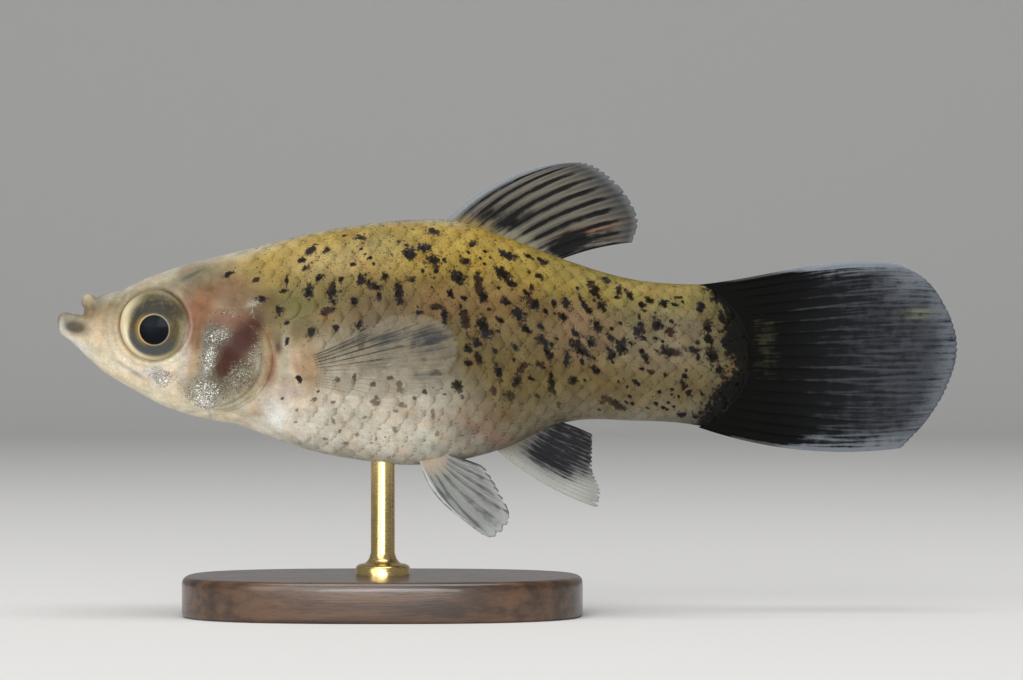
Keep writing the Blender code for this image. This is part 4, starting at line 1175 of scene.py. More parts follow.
def eye_socket(s, y, h):
    """How far in the skin has to go to lie behind the eye ball, inside the ball's rim."""
    eye = props("eye")
    from_middle = np.hypot(s - EYE_BACK, h - EYE_HEIGHT)
    ball = EYE_ACROSS + eye.bulge * np.sqrt(np.clip(1 - (from_middle / eye.radius) ** 2, 0.0, 1.0))
    ball += (s - EYE_BACK) * math.tan(EYE_TURN)
    sink = np.maximum(np.abs(y) - ball + 0.3, 0.0) * smooth(from_middle, 2.24, 2.08) * (np.abs(y) > 1.0)
    return np.copysign(sink, y)


def fish_skin():
    """Fuses body and jaws into one skin, thins it where scales cover it, and gives it relief and paint."""
    hide = props("hide")
    skin = body_shell()
    parts = [skin, jaw_shell(), lip_shell(), muzzle_shell()]
    select_only(skin)
    for part in parts:
        part.select_set(True)
    bpy.ops.object.join()
    modify(skin, "REMESH", mode="VOXEL", voxel_size=hide.voxel)
    modify(skin, "SMOOTH", factor=0.5, iterations=5)
    points = vertex_array(skin)

    # Scales hide the trunk, so that fewer faces do there
    trunk = skin.vertex_groups.new(name="trunk")
    trunk.add(np.flatnonzero(points[:, 0] > TRUNK_START).tolist(), 1.0, "REPLACE")
    modify(skin, "DECIMATE", ratio=0.42, vertex_group="trunk", vertex_group_factor=1.0)
    skin.vertex_groups.clear()

    # Remeshing softens the form: behind the jaws each point goes back to the true surface
    points = vertex_array(skin)
    s, y, h = points.T
    turn = SURFACE.turn_of(s, y, h)
    true_y, true_h = SURFACE.across_height(s, turn)
    share = smooth(s, 3.6, 5.6)
    points[:, 1] = y + (np.copysign(true_y, y) - y) * share
    points[:, 2] = h + (true_h - h) * share
    set_vertices(skin, points)

    s, y, h = points.T
    girth = SURFACE.girth_of(s, SURFACE.turn_of(s, y, h))
    points = points + normal_array(skin) * relief(s, y, h, girth)[:, None]
    points[:, 1] -= eye_socket(*points.T)
    set_vertices(skin, points)
    paint_hide(skin, s, y, h, girth)
    corners, starts, sizes = face_corners(skin)
    sides = np.add.reduceat(y[corners], starts)
    u, v = unwrap(s[corners], girth[corners], np.repeat(sides, sizes))
    give_map(skin, "OFBake", np.stack([u, v], axis=1))
    return skin


# Plates: scales and gill covers

def grid(lines, size):
    """The quads of a grid with a number of lines, each of size faces, and the points round it in order."""
    wide = size + 1
    firsts = [i * wide + j for i in range(lines) for j in range(size)]
    quads = [(a, a + wide, a + wide + 1, a + 1) for a in firsts]
    border = [i * wide for i in range(lines + 1)]
    border += [lines * wide + j for j in range(1, wide)]
    border += [i * wide + size for i in range(lines - 1, -1, -1)]
    return quads, border + list(range(size - 1, 0, -1))


def disc_grid(size):
    """A square grid pressed into a disc, its quads, and the points of its rim in order."""
    steps = np.linspace(-1.0, 1.0, size + 1)
    a, b = np.meshgrid(steps, steps, indexing="ij")
    x = a * np.sqrt(1 - b * b / 2)
    y = b * np.sqrt(1 - a * a / 2)
    return x.ravel(), y.ravel(), *grid(size, size)


def plate_faces(quads, rim, count_top):
    """Quads of the top, a wall round the rim, and a flat underside whose points follow the top's."""
    under = [count_top + k for k in range(len(rim))]
    wall = zip(rim, under, under[1:] + under[:1], rim[1:] + rim[:1])
    return [*quads, *wall, tuple(reversed(under))]


def with_rim(values, rim):
    """The values of a plate's top, followed by those of its underside."""
    return np.concatenate([values, values[..., rim]], axis=-1)


def scale_places(side):
    """Where scales sit on one side: distance back and girth of each. The left side has those of the
    ridge and the keel."""
    hide = props("hide")
    found = []
    rows = 2 * hide.scale_rows
    for row in range(rows + 1):
        girth = row / rows
        if side > 0 and row in (0, rows):
            continue
        for column in range(-6, hide.scale_columns + 2):
            share = (column + 0.5 * (row % 2)) / hide.scale_columns
            s = SCALES_START + SCALES_LENGTH * share + 0.7 * share * (1 - share)
            height = (0.5 - girth) * 14.0
            s -= 1.5 * smooth(s, 36.0, 43.0) * (abs(height + 0.5) / 5.0) ** 2
            if s < straight(FIRST_SCALE, girth) or s > SCALES_END:
                continue
            height = SURFACE.point(np.array([s]), np.array([girth]), side)[0, 2]
            chord = math.sqrt(max(TAIL_ARC_RADIUS**2 - (height - TAIL_ARC_LEVEL) ** 2, 0.0))
            if s <= TAIL_ARC_CENTRE + chord - 0.7:
                found.append((s, girth))
    return np.array(found)


def scale_coat(name, side):
    """The scales of one side, in overlapping rows, each a thin plate sunk in the skin at its front."""
    hide = props("hide")
    random = np.random.default_rng(11 if side < 0 else 12)
    x, y, quads, rim = disc_grid(hide.scale_grid)
    s0, g0 = np.hsplit(scale_places(side), 2)
    jitter = random.normal(0.0, 1.0, (len(s0), 4))
    half_length = SCALES_LENGTH / hide.scale_columns * (1.08 + 0.03 * jitter[:, :1])
    row_mm = SURFACE.length_of(s0) / (2 * hide.scale_rows)
    half_height = row_mm * (1.32 + 0.03 * jitter[:, 1:2])
    lean = 0.03 * jitter[:, 2:3]
    along = x * half_length
    down = y * half_height
    s = s0 + along * np.cos(lean) - down * np.sin(lean)
    g = g0 + (down + along * np.sin(lean)) / SURFACE.length_of(np.clip(s, 2.0, 44.0))
    s = np.clip(s, 2.2, 43.2)
    reach = np.hypot(x, y)
    lift = hide.scale_lift * (x * 0.95 + 0.05)
    lift = lift + 0.008 * (1 - reach**2) - 0.008 * reach**10
    lift = lift * np.clip(half_length / 1.1, 0.6, 1.0) * (1 - 0.5 * smooth(g0, 0.6, 0.8))
    where = SURFACE.point(s, g, side)
    out = SURFACE.normal(s, g, side)
    top = where + out * lift[..., None]
    under = where[:, rim] + out[:, rim] * (lift[:, rim] - SCALE_THICKNESS)[..., None]
    points = np.concatenate([top, under], axis=1)
    each = points.shape[1]
    points = points.reshape(-1, 3)
    pattern = plate_faces(quads, rim, len(x))
    if side > 0:
        pattern = [tuple(reversed(face)) for face in pattern]
    faces = [tuple(k * each + v for v in face) for k in range(len(s0)) for face in pattern]
    coat = mesh_piece(name, points, faces, outward=False)
    all_s = with_rim(s, rim).ravel()
    all_g = with_rim(g, rim).ravel()
    folded = np.clip(np.where(all_g < 0, -all_g, np.where(all_g > 1, 2 - all_g, all_g)), 0.0, 1.0)
    shade = np.repeat(1.0 + 0.05 * jitter[:, 3], each)
    paint_hide(coat, all_s, points[:, 1], points[:, 2], folded, shade=shade)
    upper = smooth(folded, 0.75, 0.3)
    give_value(coat, "outline", (0.04 + 0.3 * upper) * smooth(all_s, 9.0, 15.0))

    # In the plate map u grows to 1 at the rim, but stays 0 at the sunk front
    corners = corner_vertices(coat)
    from_front = np.concatenate([reach * (x > -0.2), np.ones(len(rim))])
    local = np.stack([from_front, with_rim(y, rim)], axis=1)
    give_map(coat, "plate", np.tile(local, (len(s0), 1))[corners])
    root = np.stack(unwrap(np.repeat(s0, each), np.repeat(g0, each), side), axis=1)
    disc = np.stack([with_rim(x, rim), with_rim(y, rim)], axis=1)
    patch = root + SCALE_PATCH * np.tile(disc, (len(s0), 1))
    give_map(coat, "OFBake", patch[corners])
    return coat


def cover_plate(name, side):
    """A gill cover: a domed plate buried at its front, with a free edge behind."""
    x, y, quads, rim = disc_grid(COVER_GRID)
    start = COVER_FRONT + COVER_CORNER
    s = np.where(x < 0, start + x * (COVER_CORNER + 0.6), start + x * (COVER_REAR + 0.12 - start))
    h = COVER_MIDDLE + y * (COVER_HALF_HEIGHT + 0.05)
    girth = SURFACE.girth_seen(s, h)
    where = SURFACE.point(s, girth, side)
    out = SURFACE.normal(s, girth, side)
    radius = np.hypot(x, y)
    lift = -0.14 + 0.27 * smooth(x, -0.75, 0.05) + 0.1 * (1 - radius**2)
    lift -= 0.11 * smooth(radius, 0.86, 1.0) ** 2
    lift -= 0.2 * smooth(np.abs(y), 0.72, 1.0) * smooth(x, 0.55, -0.1)
    lift += 0.03 * bump(radius, 0.86, 0.04) * smooth(x, 0.1, 0.5)
    lift -= 0.02 * np.sin(11 * x + 5 * y) * smooth(radius, 1.0, 0.7)
    under = where[rim] + out[rim] * (lift[rim] - COVER_THICKNESS)[:, None]
    points = np.concatenate([where + out * lift[:, None], under])
    cover = mesh_piece(name, points, plate_faces(quads, rim, len(x)))
    measured = {"s": s, "h": h, "x": x, "radius": radius, "girth": girth}
    return cover, SimpleNamespace(**{key: with_rim(values, rim) for key, values in measured.items()})


def paint_cover(cover, place, side):
    """The skin's own colours and silver with painted glints without its spots, with a pale line inside the
    free edge.
    """
    ground = ground_colour(place.s, place.h, place.girth)
    pale = bump(place.radius, 0.93, 0.035) * smooth(place.h, 1.0, -0.5) * smooth(place.x, -0.4, 0.1)
    ground = blend(ground, (0.42, 0.36, 0.19), 0.6 * pale)
    dark = bump(place.radius, 0.84, 0.03) * smooth(place.h, 0.0, -1.0) * smooth(place.x, 0.0, 0.3)
    ground = blend(ground, (0.10, 0.08, 0.035), 0.6 * dark)
    give_colour(cover, "ground", ground)
    give_value(cover, "spot", -1.0)
    give_value(cover, "strength", 0.0)
    everywhere = np.ones(len(place.s))
    mark_spots(cover, place.s, -NO_SPOT * everywhere, side * everywhere)
    give_value(cover, "speck", 0.1)
    give_value(cover, "glitter", silver(place.s, place.h) * (1 - 0.8 * smooth(place.radius, 0.88, 0.94)))


# Eyes

def eye_ball(name, side):
    """A ball pressed flat like a real fish's eye and turned a little forward."""
    eye = props("eye")
    select_nothing()
    upright = (math.pi / 2, 0.0, 0.0)
    bpy.ops.mesh.primitive_uv_sphere_add(segments=96, ring_count=64, radius=1.0, rotation=upright)
    ball = bpy.context.object
    ball.name = ball.data.name = name
    bpy.ops.object.transform_apply(rotation=True)
    bpy.ops.transform.resize(value=(eye.radius, eye.bulge, eye.radius))
    bpy.ops.object.transform_apply(scale=True)
    ball.rotation_euler.z = side * EYE_TURN
    bpy.ops.object.transform_apply(rotation=True)
    bpy.ops.transform.translate(value=(EYE_BACK, side * EYE_ACROSS, EYE_HEIGHT))
    bpy.ops.object.transform_apply(location=True)
    return ball


def eye_finish():
    """A dark pupil in a gold ring, and an iris of olive, blue-grey, gold and cream, under a wet gloss."""
    eye = props("eye")
    finish = Finish("eye_finish")
    whole_place = finish.millimetres()
    place = finish.split(whole_place)
    back = finish.minus(place[0], SNOUT_X + PUPIL_BACK)
    up = finish.minus(place[2], AXIS_HEIGHT + PUPIL_HEIGHT)

    def distance(from_back, from_up):
        first = finish.minus(back, from_back)
        second = finish.minus(up, from_up)
        return finish.maths("SQRT", finish.plus(finish.times(first, first), finish.times(second, second)))

    def toward(ahead, upward):
        """1 in a direction from the pupil, -1 opposite to it."""
        both = finish.plus(finish.times(back, -ahead), finish.times(up, upward))
        return finish.maths("DIVIDE", both, finish.plus(radius, 0.01))

    def between(start, full, fade, end):
        """A ring that is full between two distances from the pupil."""
        return finish.times(finish.step(radius, start, full), finish.step(radius, end, fade))

    def tinted(base, where, ring, strength, tint):
        share = finish.times(finish.times(where, ring), strength)
        return finish.mix(share, base, tint)

    radius = distance(0.0, 0.0)
    rim = distance(EYE_BACK - PUPIL_BACK, EYE_HEIGHT - PUPIL_HEIGHT)
    streaks = finish.noise(whole_place, 4.5, 4.0, 0.65)
    iris = finish.mix(finish.step(streaks, 0.3, 0.7), (0.065, 0.052, 0.027), (0.105, 0.082, 0.04))
    for direction, reach, ring, strength, tint in (
        ((0.9, -0.5), (-0.4, 0.7), (1.45, 1.85, 2.3, 2.4), 0.9, eye.cream_colour),
        ((0.8, -0.7), (0.6, 1.0), (1.6, 1.85, 2.3, 2.4), 0.6, (0.85, 0.80, 0.60)),
        ((-0.6, -0.8), (0.0, 0.8), (1.4, 1.85, 2.3, 2.4), 0.38, eye.cream_colour),
        ((0.1, 1.0), (0.1, 0.85), (0.9, 1.2, 1.65, 2.2), 0.85, eye.dark_colour),
        ((0.25, -1.0), (0.0, 0.6), (1.0, 1.15, 1.5, 1.8), 0.85, eye.iris_colour),
        ((1.0, 0.0), (0.3, 0.95), (0.8, 0.9, 1.02, 1.3), 0.75, eye.gold_colour),
    ):
        where = finish.step(toward(*direction), *reach)
        iris = tinted(iris, where, between(*ring), strength, tint)
    band = between(1.3, 1.6, 2.0, 2.2)
    iris = tinted(iris, finish.step(streaks, 0.5, 0.66), band, 0.14, (0.35, 0.29, 0.15))
    iris = finish.mix(finish.step(rim, 1.85, 2.1, 0.0, 0.26), iris, (0.45, 0.38, 0.25))
    ring = finish.step(radius, eye.pupil - 0.04, eye.pupil + 0.02)
    ring_end = finish.step(radius, eye.pupil + 0.02, eye.pupil + 0.1)
    ring_tint = finish.mix(finish.step(toward(1.0, 0.1), -0.2, 0.9), (0.25, 0.22, 0.15), eye.ring_colour)
    # A painted reflection: the pupil is lightened to blue-grey above and in front
    painted_pupil_reflection = finish.step(distance(-0.25, 0.25), 0.8, 0.0, 0.0, 0.8)
    pupil = finish.mix(painted_pupil_reflection, eye.pupil_colour, (0.008, 0.013, 0.02))
    finish.set(Base_Color=finish.mix(ring, pupil, finish.mix(ring_end, ring_tint, iris)))
    finish.set(Roughness=0.35, Specular_IOR_Level=0.03, Coat_Weight=0.07, Coat_Roughness=0.1)
    return finish.material


# Fins

def smooth_path(points, share):
    """Points of a smooth curve through a few points, by their share of the way."""
    points = np.array(points, dtype=float)
    reached = np.concatenate([[0.0], np.cumsum(np.linalg.norm(np.diff(points, axis=0), axis=1))])
    table = np.column_stack([reached / reached[-1], points])
    return np.stack([curve(table, share, column + 1) for column in range(points.shape[1])], axis=-1)


def mixed(ends, share):
    """Places on the straight way between two ends."""
    return ends[0] + (ends[1] - ends[0]) * share


def bowed(root, tip, early, late, share):
    """Points of rays that bow sideways in the fin's plane, most at their middle or nearer their tip."""
    run = tip - root
    sideways = np.stack([-run[..., 1], run[..., 0]], axis=-1)
    sideways = sideways / np.linalg.norm(sideways, axis=-1, keepdims=True)
    bow = 4 * early * share * (1 - share) + 6.75 * late * share**2 * (1 - share)
    return root + run * share[..., None] + sideways * bow[..., None]


def set_across(plane, across):
    """Sets points of a flat fin at distances across."""
    return np.stack([plane[..., 0], across, plane[..., 1]], axis=-1)


def off_middle(cross, rays):
    """How far a place lies from the middle of its ray: 0.5 is half way to the next ray."""
    place = cross * rays
    return place - np.floor(np.clip(place, 0, rays - 1e-6)) - 0.5


def ridge_profile(cross, share, rays, branched):
    """How much of a ray there is at each place: 1 along its middle, 0 on the membrane. A branched ray
    forks twice."""
    inside = off_middle(cross, rays)
    if not branched:
        return bump(inside, 0.0, 0.2)
    order = np.sin(np.floor(cross * rays) * 12.9) * 0.05
    first = 0.25 * smooth(share, FIRST_FORK + order, FIRST_FORK + order + 0.35)
    later = 0.1 * smooth(share, SECOND_FORK + order, 1.1)
    width = 0.17 - 0.07 * smooth(share, FIRST_FORK, 1.0)
    branches = [bump(inside, one * first + two * later, width) for one in (-1, 1) for two in (-1, 1)]
    return np.maximum.reduce(branches)


def fin_blade(name, line, rays, branched, fray, ray_height, seed):
    """A thin closed blade with its rays raised in both faces. line(cross, share) gives the points of
    its middle surface, and fray how deep its margin is notched between the rays, as a share of them."""
    fins = props("fins")
    random = np.random.default_rng(seed)
    columns = rays * fins.columns
    cross = np.linspace(0.0, 1.0, columns + 1)[:, None]
    share = np.linspace(0.0, 1.0, fins.rows + 1)[None, :] ** 0.95
    halves = 2 * cross * rays
    notches = np.interp(halves, np.arange(2 * rays + 1), random.uniform(0.0, 1.8, 2 * rays + 1))
    notch = smooth(np.abs(halves - np.round(halves)), 0.35, 0.0)
    reach = 1.0 - fray * notch * notches - 0.2 * fray * random.random(cross.shape)
    cross_all = np.broadcast_to(cross, (columns + 1, fins.rows + 1))
    share_all = share * reach
    middle = line(cross_all, share_all)
    ridge = ridge_profile(cross_all, share_all, rays, branched)
    normal = np.cross(np.gradient(middle, axis=1), np.gradient(middle, axis=0))
    normal /= np.linalg.norm(normal, axis=2, keepdims=True)
    segments = 0.9 + 0.1 * np.cos(share_all * 2 * math.pi * RAY_SEGMENTS)
    height = ray_height * fins.ray * ridge * segments * (1 - 0.7 * share_all) * smooth(share_all, 0.0, 0.3)
    half = fins.membrane * (1 - 0.5 * share_all + smooth(share_all, 0.2, 0.0)) + height
    half[:, -1] = FIN_MARGIN_HALF
    half[0], half[-1] = half[0] * 0.6, half[-1] * 0.6
    total = (columns + 1) * (fins.rows + 1)
    points = np.concatenate([(middle + face * normal * half[..., None]).reshape(-1, 3) for face in (1, -1)])
    quads, border = grid(columns, fins.rows)
    faces = []
    for a, b, b_after, a_after in quads:
        faces.append((a, a_after, b_after, b))
        faces.append((a + total, b + total, b_after + total, a_after + total))
    for a, b in zip(border, border[1:] + border[:1]):
        faces.append((a, b, b + total, a + total))
    blade = mesh_piece(name, points, faces)
    measured = {"cross": cross_all, "share": share_all, "ridge": ridge}
    place = SimpleNamespace(**{key: np.tile(values.ravel(), 2) for key, values in measured.items()})
    place.from_ray = np.abs(off_middle(place.cross, rays))
    place.s, place.h = points[:, 0], points[:, 2]
    on_map = np.stack([place.cross * rays, place.share * FIN_MAP_LENGTH], axis=1)
    give_map(blade, "fin", on_map[corner_vertices(blade)])
    return blade, place


def flat_fin(root, profile, edge, bow, sway):
    """The middle surface of a fin on the back or the belly, whose root is sunk in the body."""
    sunk = -FIN_SUNK if profile == TOP else FIN_SUNK

    def line(cross, share):
        start = mixed(root, cross)
        level = curve(BODY, start, profile) + sunk
        tips = smooth_path(edge, cross)
        plane = bowed(np.stack([start, level], axis=-1), tips, mixed(bow, cross), 0.0, share)
        return set_across(plane, sway * np.sin(math.pi * (2.2 * cross + 0.4)) * share**2)

    return line


def tail_line(cross, share):
    """The middle surface of the tail fin, fanned round the flesh's end."""
    above = 1 - 2 * cross
    turn = TAIL_ARC_SPREAD * above
    radius = TAIL_ARC_RADIUS - 0.9
    height = TAIL_ARC_LEVEL + 1.22 * radius * np.sin(turn)
    root = np.stack([TAIL_ARC_CENTRE + radius * np.cos(turn), height], axis=-1)
    early = TAIL_BOW_BELOW * np.minimum(above, 0.0)
    late = TAIL_BOW_ABOVE * np.maximum(above, 0.0)
    plane = bowed(root, smooth_path(TAIL_EDGE, cross), early, late, share)
    return set_across(plane, 0.35 * np.sin(math.pi * (1.8 * cross + 0.2)) * share**2)


def pelvic_line(side):
    """The middle surface of a pelvic fin, which spreads outwards."""

    def line(cross, share):
        start = mixed(PELVIC_ROOT, cross)
        root = np.stack([start, curve(BODY, start, FOOT) + FIN_SUNK], axis=-1)
        plane = bowed(root, smooth_path(PELVIC_EDGE, cross), mixed(PELVIC_BOW, cross), 0.0, share)
        return set_across(plane, side * (0.95 + 1.1 * share + 0.25 * cross))

    return line


def pectoral_line(side):
    """The middle surface of a pectoral fin, which leaves the side and bends back along it."""
    ends = np.array([PECTORAL_ROOT_TOP, PECTORAL_ROOT_FOOT])

    def line(cross, share):
        root = mixed(ends, cross[..., None])
        bend = root + np.array(PECTORAL_SET_OUT)
        tip = smooth_path(PECTORAL_EDGE, cross)
        t = share[..., None]
        point = (1 - t) ** 2 * root + 2 * t * (1 - t) * bend + t**2 * tip
        return point * np.array([1.0, side, 1.0])

    return line


def fin_finish(name, see_through=False):
    """Wet membrane: pale paint with dark shade over it, whose edge is ragged along the rays."""
    finish = Finish(name)
    streak = finish.noise(finish.uv("fin", (4.2, 0.4, 1.0)), 1.0, 3.0, 0.6)
    cloud = finish.noise(finish.millimetres(), 1.7, 4.0, 0.6)
    ragged = finish.plus(finish.times(streak, 1.1), finish.times(cloud, 0.7))
    uneven = finish.times(finish.minus(ragged, 0.9), finish.value("uneven"))
    ink = finish.step(finish.plus(finish.value("ink"), uneven), 0.15, 0.85)
    colours = finish.mix(ink, finish.colour("paint"), finish.colour("shade"))
    grain = finish.noise(finish.millimetres(), 11.0, 2.0, 0.6)
    colours = finish.mix(finish.step(grain, 0.35, 0.7, 0.14, 0.0), colours, (0.0, 0.0, 0.0))
    rough = finish.step(grain, 0.3, 0.7, 0.42, 0.55)
    finish.set(Base_Color=colours, Roughness=rough, Specular_IOR_Level=0.03)
    if see_through:
        thin = finish.step(ragged, 0.6, 1.15, 0.55, 1.25)
        finish.set(Alpha=finish.times(finish.value("cover"), thin))
    finish.bumps(streak, 0.02, 0.5)
    return finish.material


def paint_dorsal(place):
    """Broad pale rays with dark bands between them, under a clear grey margin."""
    fins = props("fins")
    hide = props("hide")
    margin = smooth(place.share, 0.74, 0.95)
    front = smooth(place.cross, 0.2, 0.0)
    paint = blend(fins.ray_colour, fins.clear_colour, 0.8 * margin)
    paint = blend(paint, (0.13, 0.148, 0.175), 0.8 * front)
    paint = paint * (0.72 + 0.28 * smooth(place.ridge, 0.2, 0.9))[:, None]
    paint = blend(paint, hide.gold, 0.35 * smooth(place.share, 0.2, 0.1))
    rear_root = smooth(place.share, 0.28, 0.14) * smooth(place.cross, 0.3, 0.5)
    paint = blend(paint, (0.2, 0.2, 0.15), 0.6 * rear_root)
    paint = blend(paint, (0.26, 0.10, 0.05), 0.6 * blob(place.s, place.h, 33.2, 6.9, 1.7, 0.22, -14))
    # Painted highlight: a pale line along the leading edge and the margin
    rim = np.maximum(smooth(place.cross, 0.09, 0.03), 0.45 * smooth(place.share, 0.92, 1.0))
    paint = blend(paint, (0.21, 0.225, 0.235), rim)
    ink = 0.95 * smooth(place.from_ray, 0.15, 0.45) * (1 - 0.75 * margin) * (1 - 0.4 * front)
    ink = ink * (0.45 + 0.55 * smooth(place.share, 0.08, 0.28))
    ink = np.maximum(ink, strongest(place.s, place.h, DORSAL_PATCHES))
    ink = ink * smooth(place.cross, 0.03, 0.1)
    return paint, fins.dark_colour, ink, 1.0


def paint_tail(place):
    """Olive-black at the root, then grey with light streaks along the rays and a pale rim."""
    fins = props("fins")
    outward = smooth(place.s, 44.0, 54.5)
    above = smooth(place.cross, 0.14, 0.0) * smooth(place.s, 42.5, 48.0)
    below = 0.6 * smooth(place.cross, 0.83, 0.97) * smooth(place.s, 40.5, 46.0)
    edge = np.maximum(np.maximum(above, below), 0.4 * smooth(place.share, 0.86, 1.0))
    edge = np.maximum(edge, 0.6 * smooth(place.cross, 0.32, 0.1) * smooth(place.s, 50.0, 54.0))
    # Painted highlight: a pale line along the top and bottom edges of the fin
    painted_edge_highlight = np.maximum(smooth(place.cross, 0.035, 0.005), smooth(place.cross, 0.965, 0.995))
    painted_edge_highlight = painted_edge_highlight * smooth(place.s, 40.0, 43.0)
    edge = np.maximum(edge, 0.75 * painted_edge_highlight)
    paint = blend((0.032, 0.034, 0.035), (0.042, 0.046, 0.054), outward)
    paint = blend(paint, (0.045, 0.045, 0.028), smooth(place.s, 46.5, 44.5))
    paint = blend(paint, fins.tail_rim, edge)
    paint = blend(paint, (0.16, 0.17, 0.11), 0.7 * blob(place.s, place.h, 53.7, 1.65, 1.0, 0.35, -4))
    paint = blend(paint, (0.032, 0.03, 0.015), 0.8 * smooth(place.s, 46.0, 44.3))
    shade = blend(fins.tail_black, fins.tail_grey, outward)
    ink = 1.1 - 0.6 * outward - 0.35 * edge
    ink += 0.35 * smooth(place.s, 47.5, 45.0)

    # Light streaks along the rays, each with its own start and strength
    ray = np.floor(np.clip(place.cross * TAIL_RAYS, 0.0, TAIL_RAYS - 0.1))
    start = 45.6 + 1.6 * np.sin(7.3 * ray) + 0.7 * np.sin(3.1 * ray + 1.0)
    strength = 0.75 + 0.25 * np.sin(5.1 * ray)
    ink -= 0.3 * strength * smooth(place.ridge, 0.3, 0.9) * smooth(place.s - start, -1.0, 1.6)
    inner = smooth(place.s - start, -0.6, 1.2) * smooth(place.s, 51.0, 48.0)
    ink -= 0.26 * strength * smooth(place.ridge, 0.55, 0.95) * inner

    ink -= 1.2 * painted_edge_highlight
    ink -= 0.75 * blob(place.s, place.h, 44.3, -1.4, 1.4, 1.6)
    ink -= 0.7 * blob(place.s, place.h, 44.1, 0.7, 1.2, 1.3)
    return paint, shade, ink, 1.35


def paint_anal(place):
    """Milky in front, dark behind with lighter rays."""
    hide = props("hide")
    across = place.cross - 0.2 * smooth(place.share, 0.5, 1.0)
    paint = blend((0.115, 0.115, 0.113), (0.34, 0.343, 0.32), smooth(across, 0.38, 0.0))
    paint = blend(paint, hide.low_rear, 0.7 * smooth(place.share, 0.28, 0.1))
    paint = blend(paint, (0.36, 0.37, 0.32), 0.8 * smooth(place.cross, 0.09, 0.0))
    front_tip = smooth(place.share, 0.8, 1.0) * smooth(place.cross, 0.4, 0.1)
    paint = blend(paint, (0.24, 0.245, 0.225), 0.7 * front_tip)
    ink = 0.86 * smooth(across, 0.06, 0.5) * smooth(place.share, 0.02, 0.44) + 0.04
    ink += 0.4 * blob(place.s, place.h, 31.0, -7.9, 2.4, 0.6, 32)
    ink -= 0.3 * smooth(place.ridge, 0.3, 0.9) + 0.25 * smooth(place.share, 0.92, 1.0)
    return paint, (0.019, 0.019, 0.021), ink, 1.1


def paint_pelvic(place):
    """Milky, with grey between the rays."""
    fins = props("fins")
    paint = blend(fins.milk, (0.55, 0.56, 0.53), smooth(place.cross, 0.14, 0.0))
    rim = np.maximum(smooth(place.share, 0.8, 1.0), smooth(place.cross, 0.94, 1.0))
    paint = blend(paint, (0.36, 0.37, 0.35), 0.7 * rim)
    paint = blend(paint, (0.42, 0.33, 0.23), 0.8 * smooth(place.share, 0.34, 0.08))
    ink = 0.62 * smooth(place.from_ray, 0.1, 0.45) * smooth(place.share, 0.12, 0.3)
    ink = ink * (1 - 0.5 * smooth(place.share, 0.8, 1.0))
    ink += 0.6 * blob(place.s, place.h, 24.1, -9.6, 0.5, 0.25, 45)
    return paint, (0.10, 0.103, 0.105), ink, 1.2


def pectoral_marks(place):
    """Smoky patches of the outer fin, and the fine dark lines of its upper rays."""
    dusk = strongest(place.cross, place.share, PECTORAL_SMOKE)
    lines = bump(place.from_ray, 0.0, 0.1) * (0.3 + 0.7 * smooth(place.cross, 0.6, 0.25))
    lines *= smooth(place.share, 0.0, 0.06) * smooth(place.share, 1.0, 0.6)
    return dusk, lines


def paint_pectoral(place):
    """Clear, with smoky patches and fine dark lines."""
    dusk, lines = pectoral_marks(place)
    shade = blend((0.05, 0.054, 0.062), (0.02, 0.014, 0.008), lines)
    return (0.28, 0.245, 0.175), shade, np.maximum(0.8 * dusk, 1.3 * lines), 1.3


def pectoral_cover(place):
    """How much of what lies behind the pectoral fin it hides."""
    dusk, lines = pectoral_marks(place)
    cover = 0.12 + 0.5 * dusk + 0.85 * lines + 0.3 * smooth(place.share, 0.12, 0.0)
    return np.clip(cover, 0.0, 0.95)


# Stand

def oval_base():
    """A low oval base with a well rounded top edge and a slightly rounded foot."""
    low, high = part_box("stand_base")
    length, width, thick = (high - low) / MM
    select_nothing()
    bpy.ops.mesh.primitive_cylinder_add(vertices=128, radius=1.0, depth=thick, location=(0, 0, thick / 2))
    base = bpy.context.object
    base.name = base.data.name = "stand_base_wood"
    bpy.ops.object.transform_apply(location=True)
    for corner in base.data.vertices:
        turn = math.atan2(corner.co.y, corner.co.x)
        c, s = math.cos(turn), math.sin(turn)
        corner.co.x = math.copysign(abs(c) ** (2 / BASE_SQUARENESS), c) * length / 2
        corner.co.y = math.copysign(abs(s) ** (2 / BASE_SQUARENESS), s) * width / 2
    bpy.ops.object.mode_set(mode="EDIT")
    bpy.ops.mesh.select_all(action="SELECT")
    bpy.ops.mesh.normals_make_consistent(inside=False)
    bpy.ops.object.mode_set(mode="OBJECT")
    bevel_rim(base, top=True, offset=0.55, segments=6, profile=0.6)
    bevel_rim(base, top=False, offset=0.25, segments=3, profile=0.5)
    return base


def bevel_rim(thing, top, **settings):
    """Rounds the edges round the top or the bottom face of an upright piece."""
    mesh = thing.data
    heights = [v.co.z for v in mesh.vertices]
    level = max(heights) if top else min(heights)
    for item in (*mesh.polygons, *mesh.edges, *mesh.vertices):
        item.select = False
    for edge in mesh.edges:
        edge.select = all(abs(heights[v] - level) < 1e-4 for v in edge.vertices)
        if edge.select:
            for v in edge.vertices:
                mesh.vertices[v].select = True
    bpy.ops.object.mode_set(mode="EDIT")
    bpy.ops.mesh.bevel(affect="EDGES", **settings)
    bpy.ops.object.mode_set(mode="OBJECT")


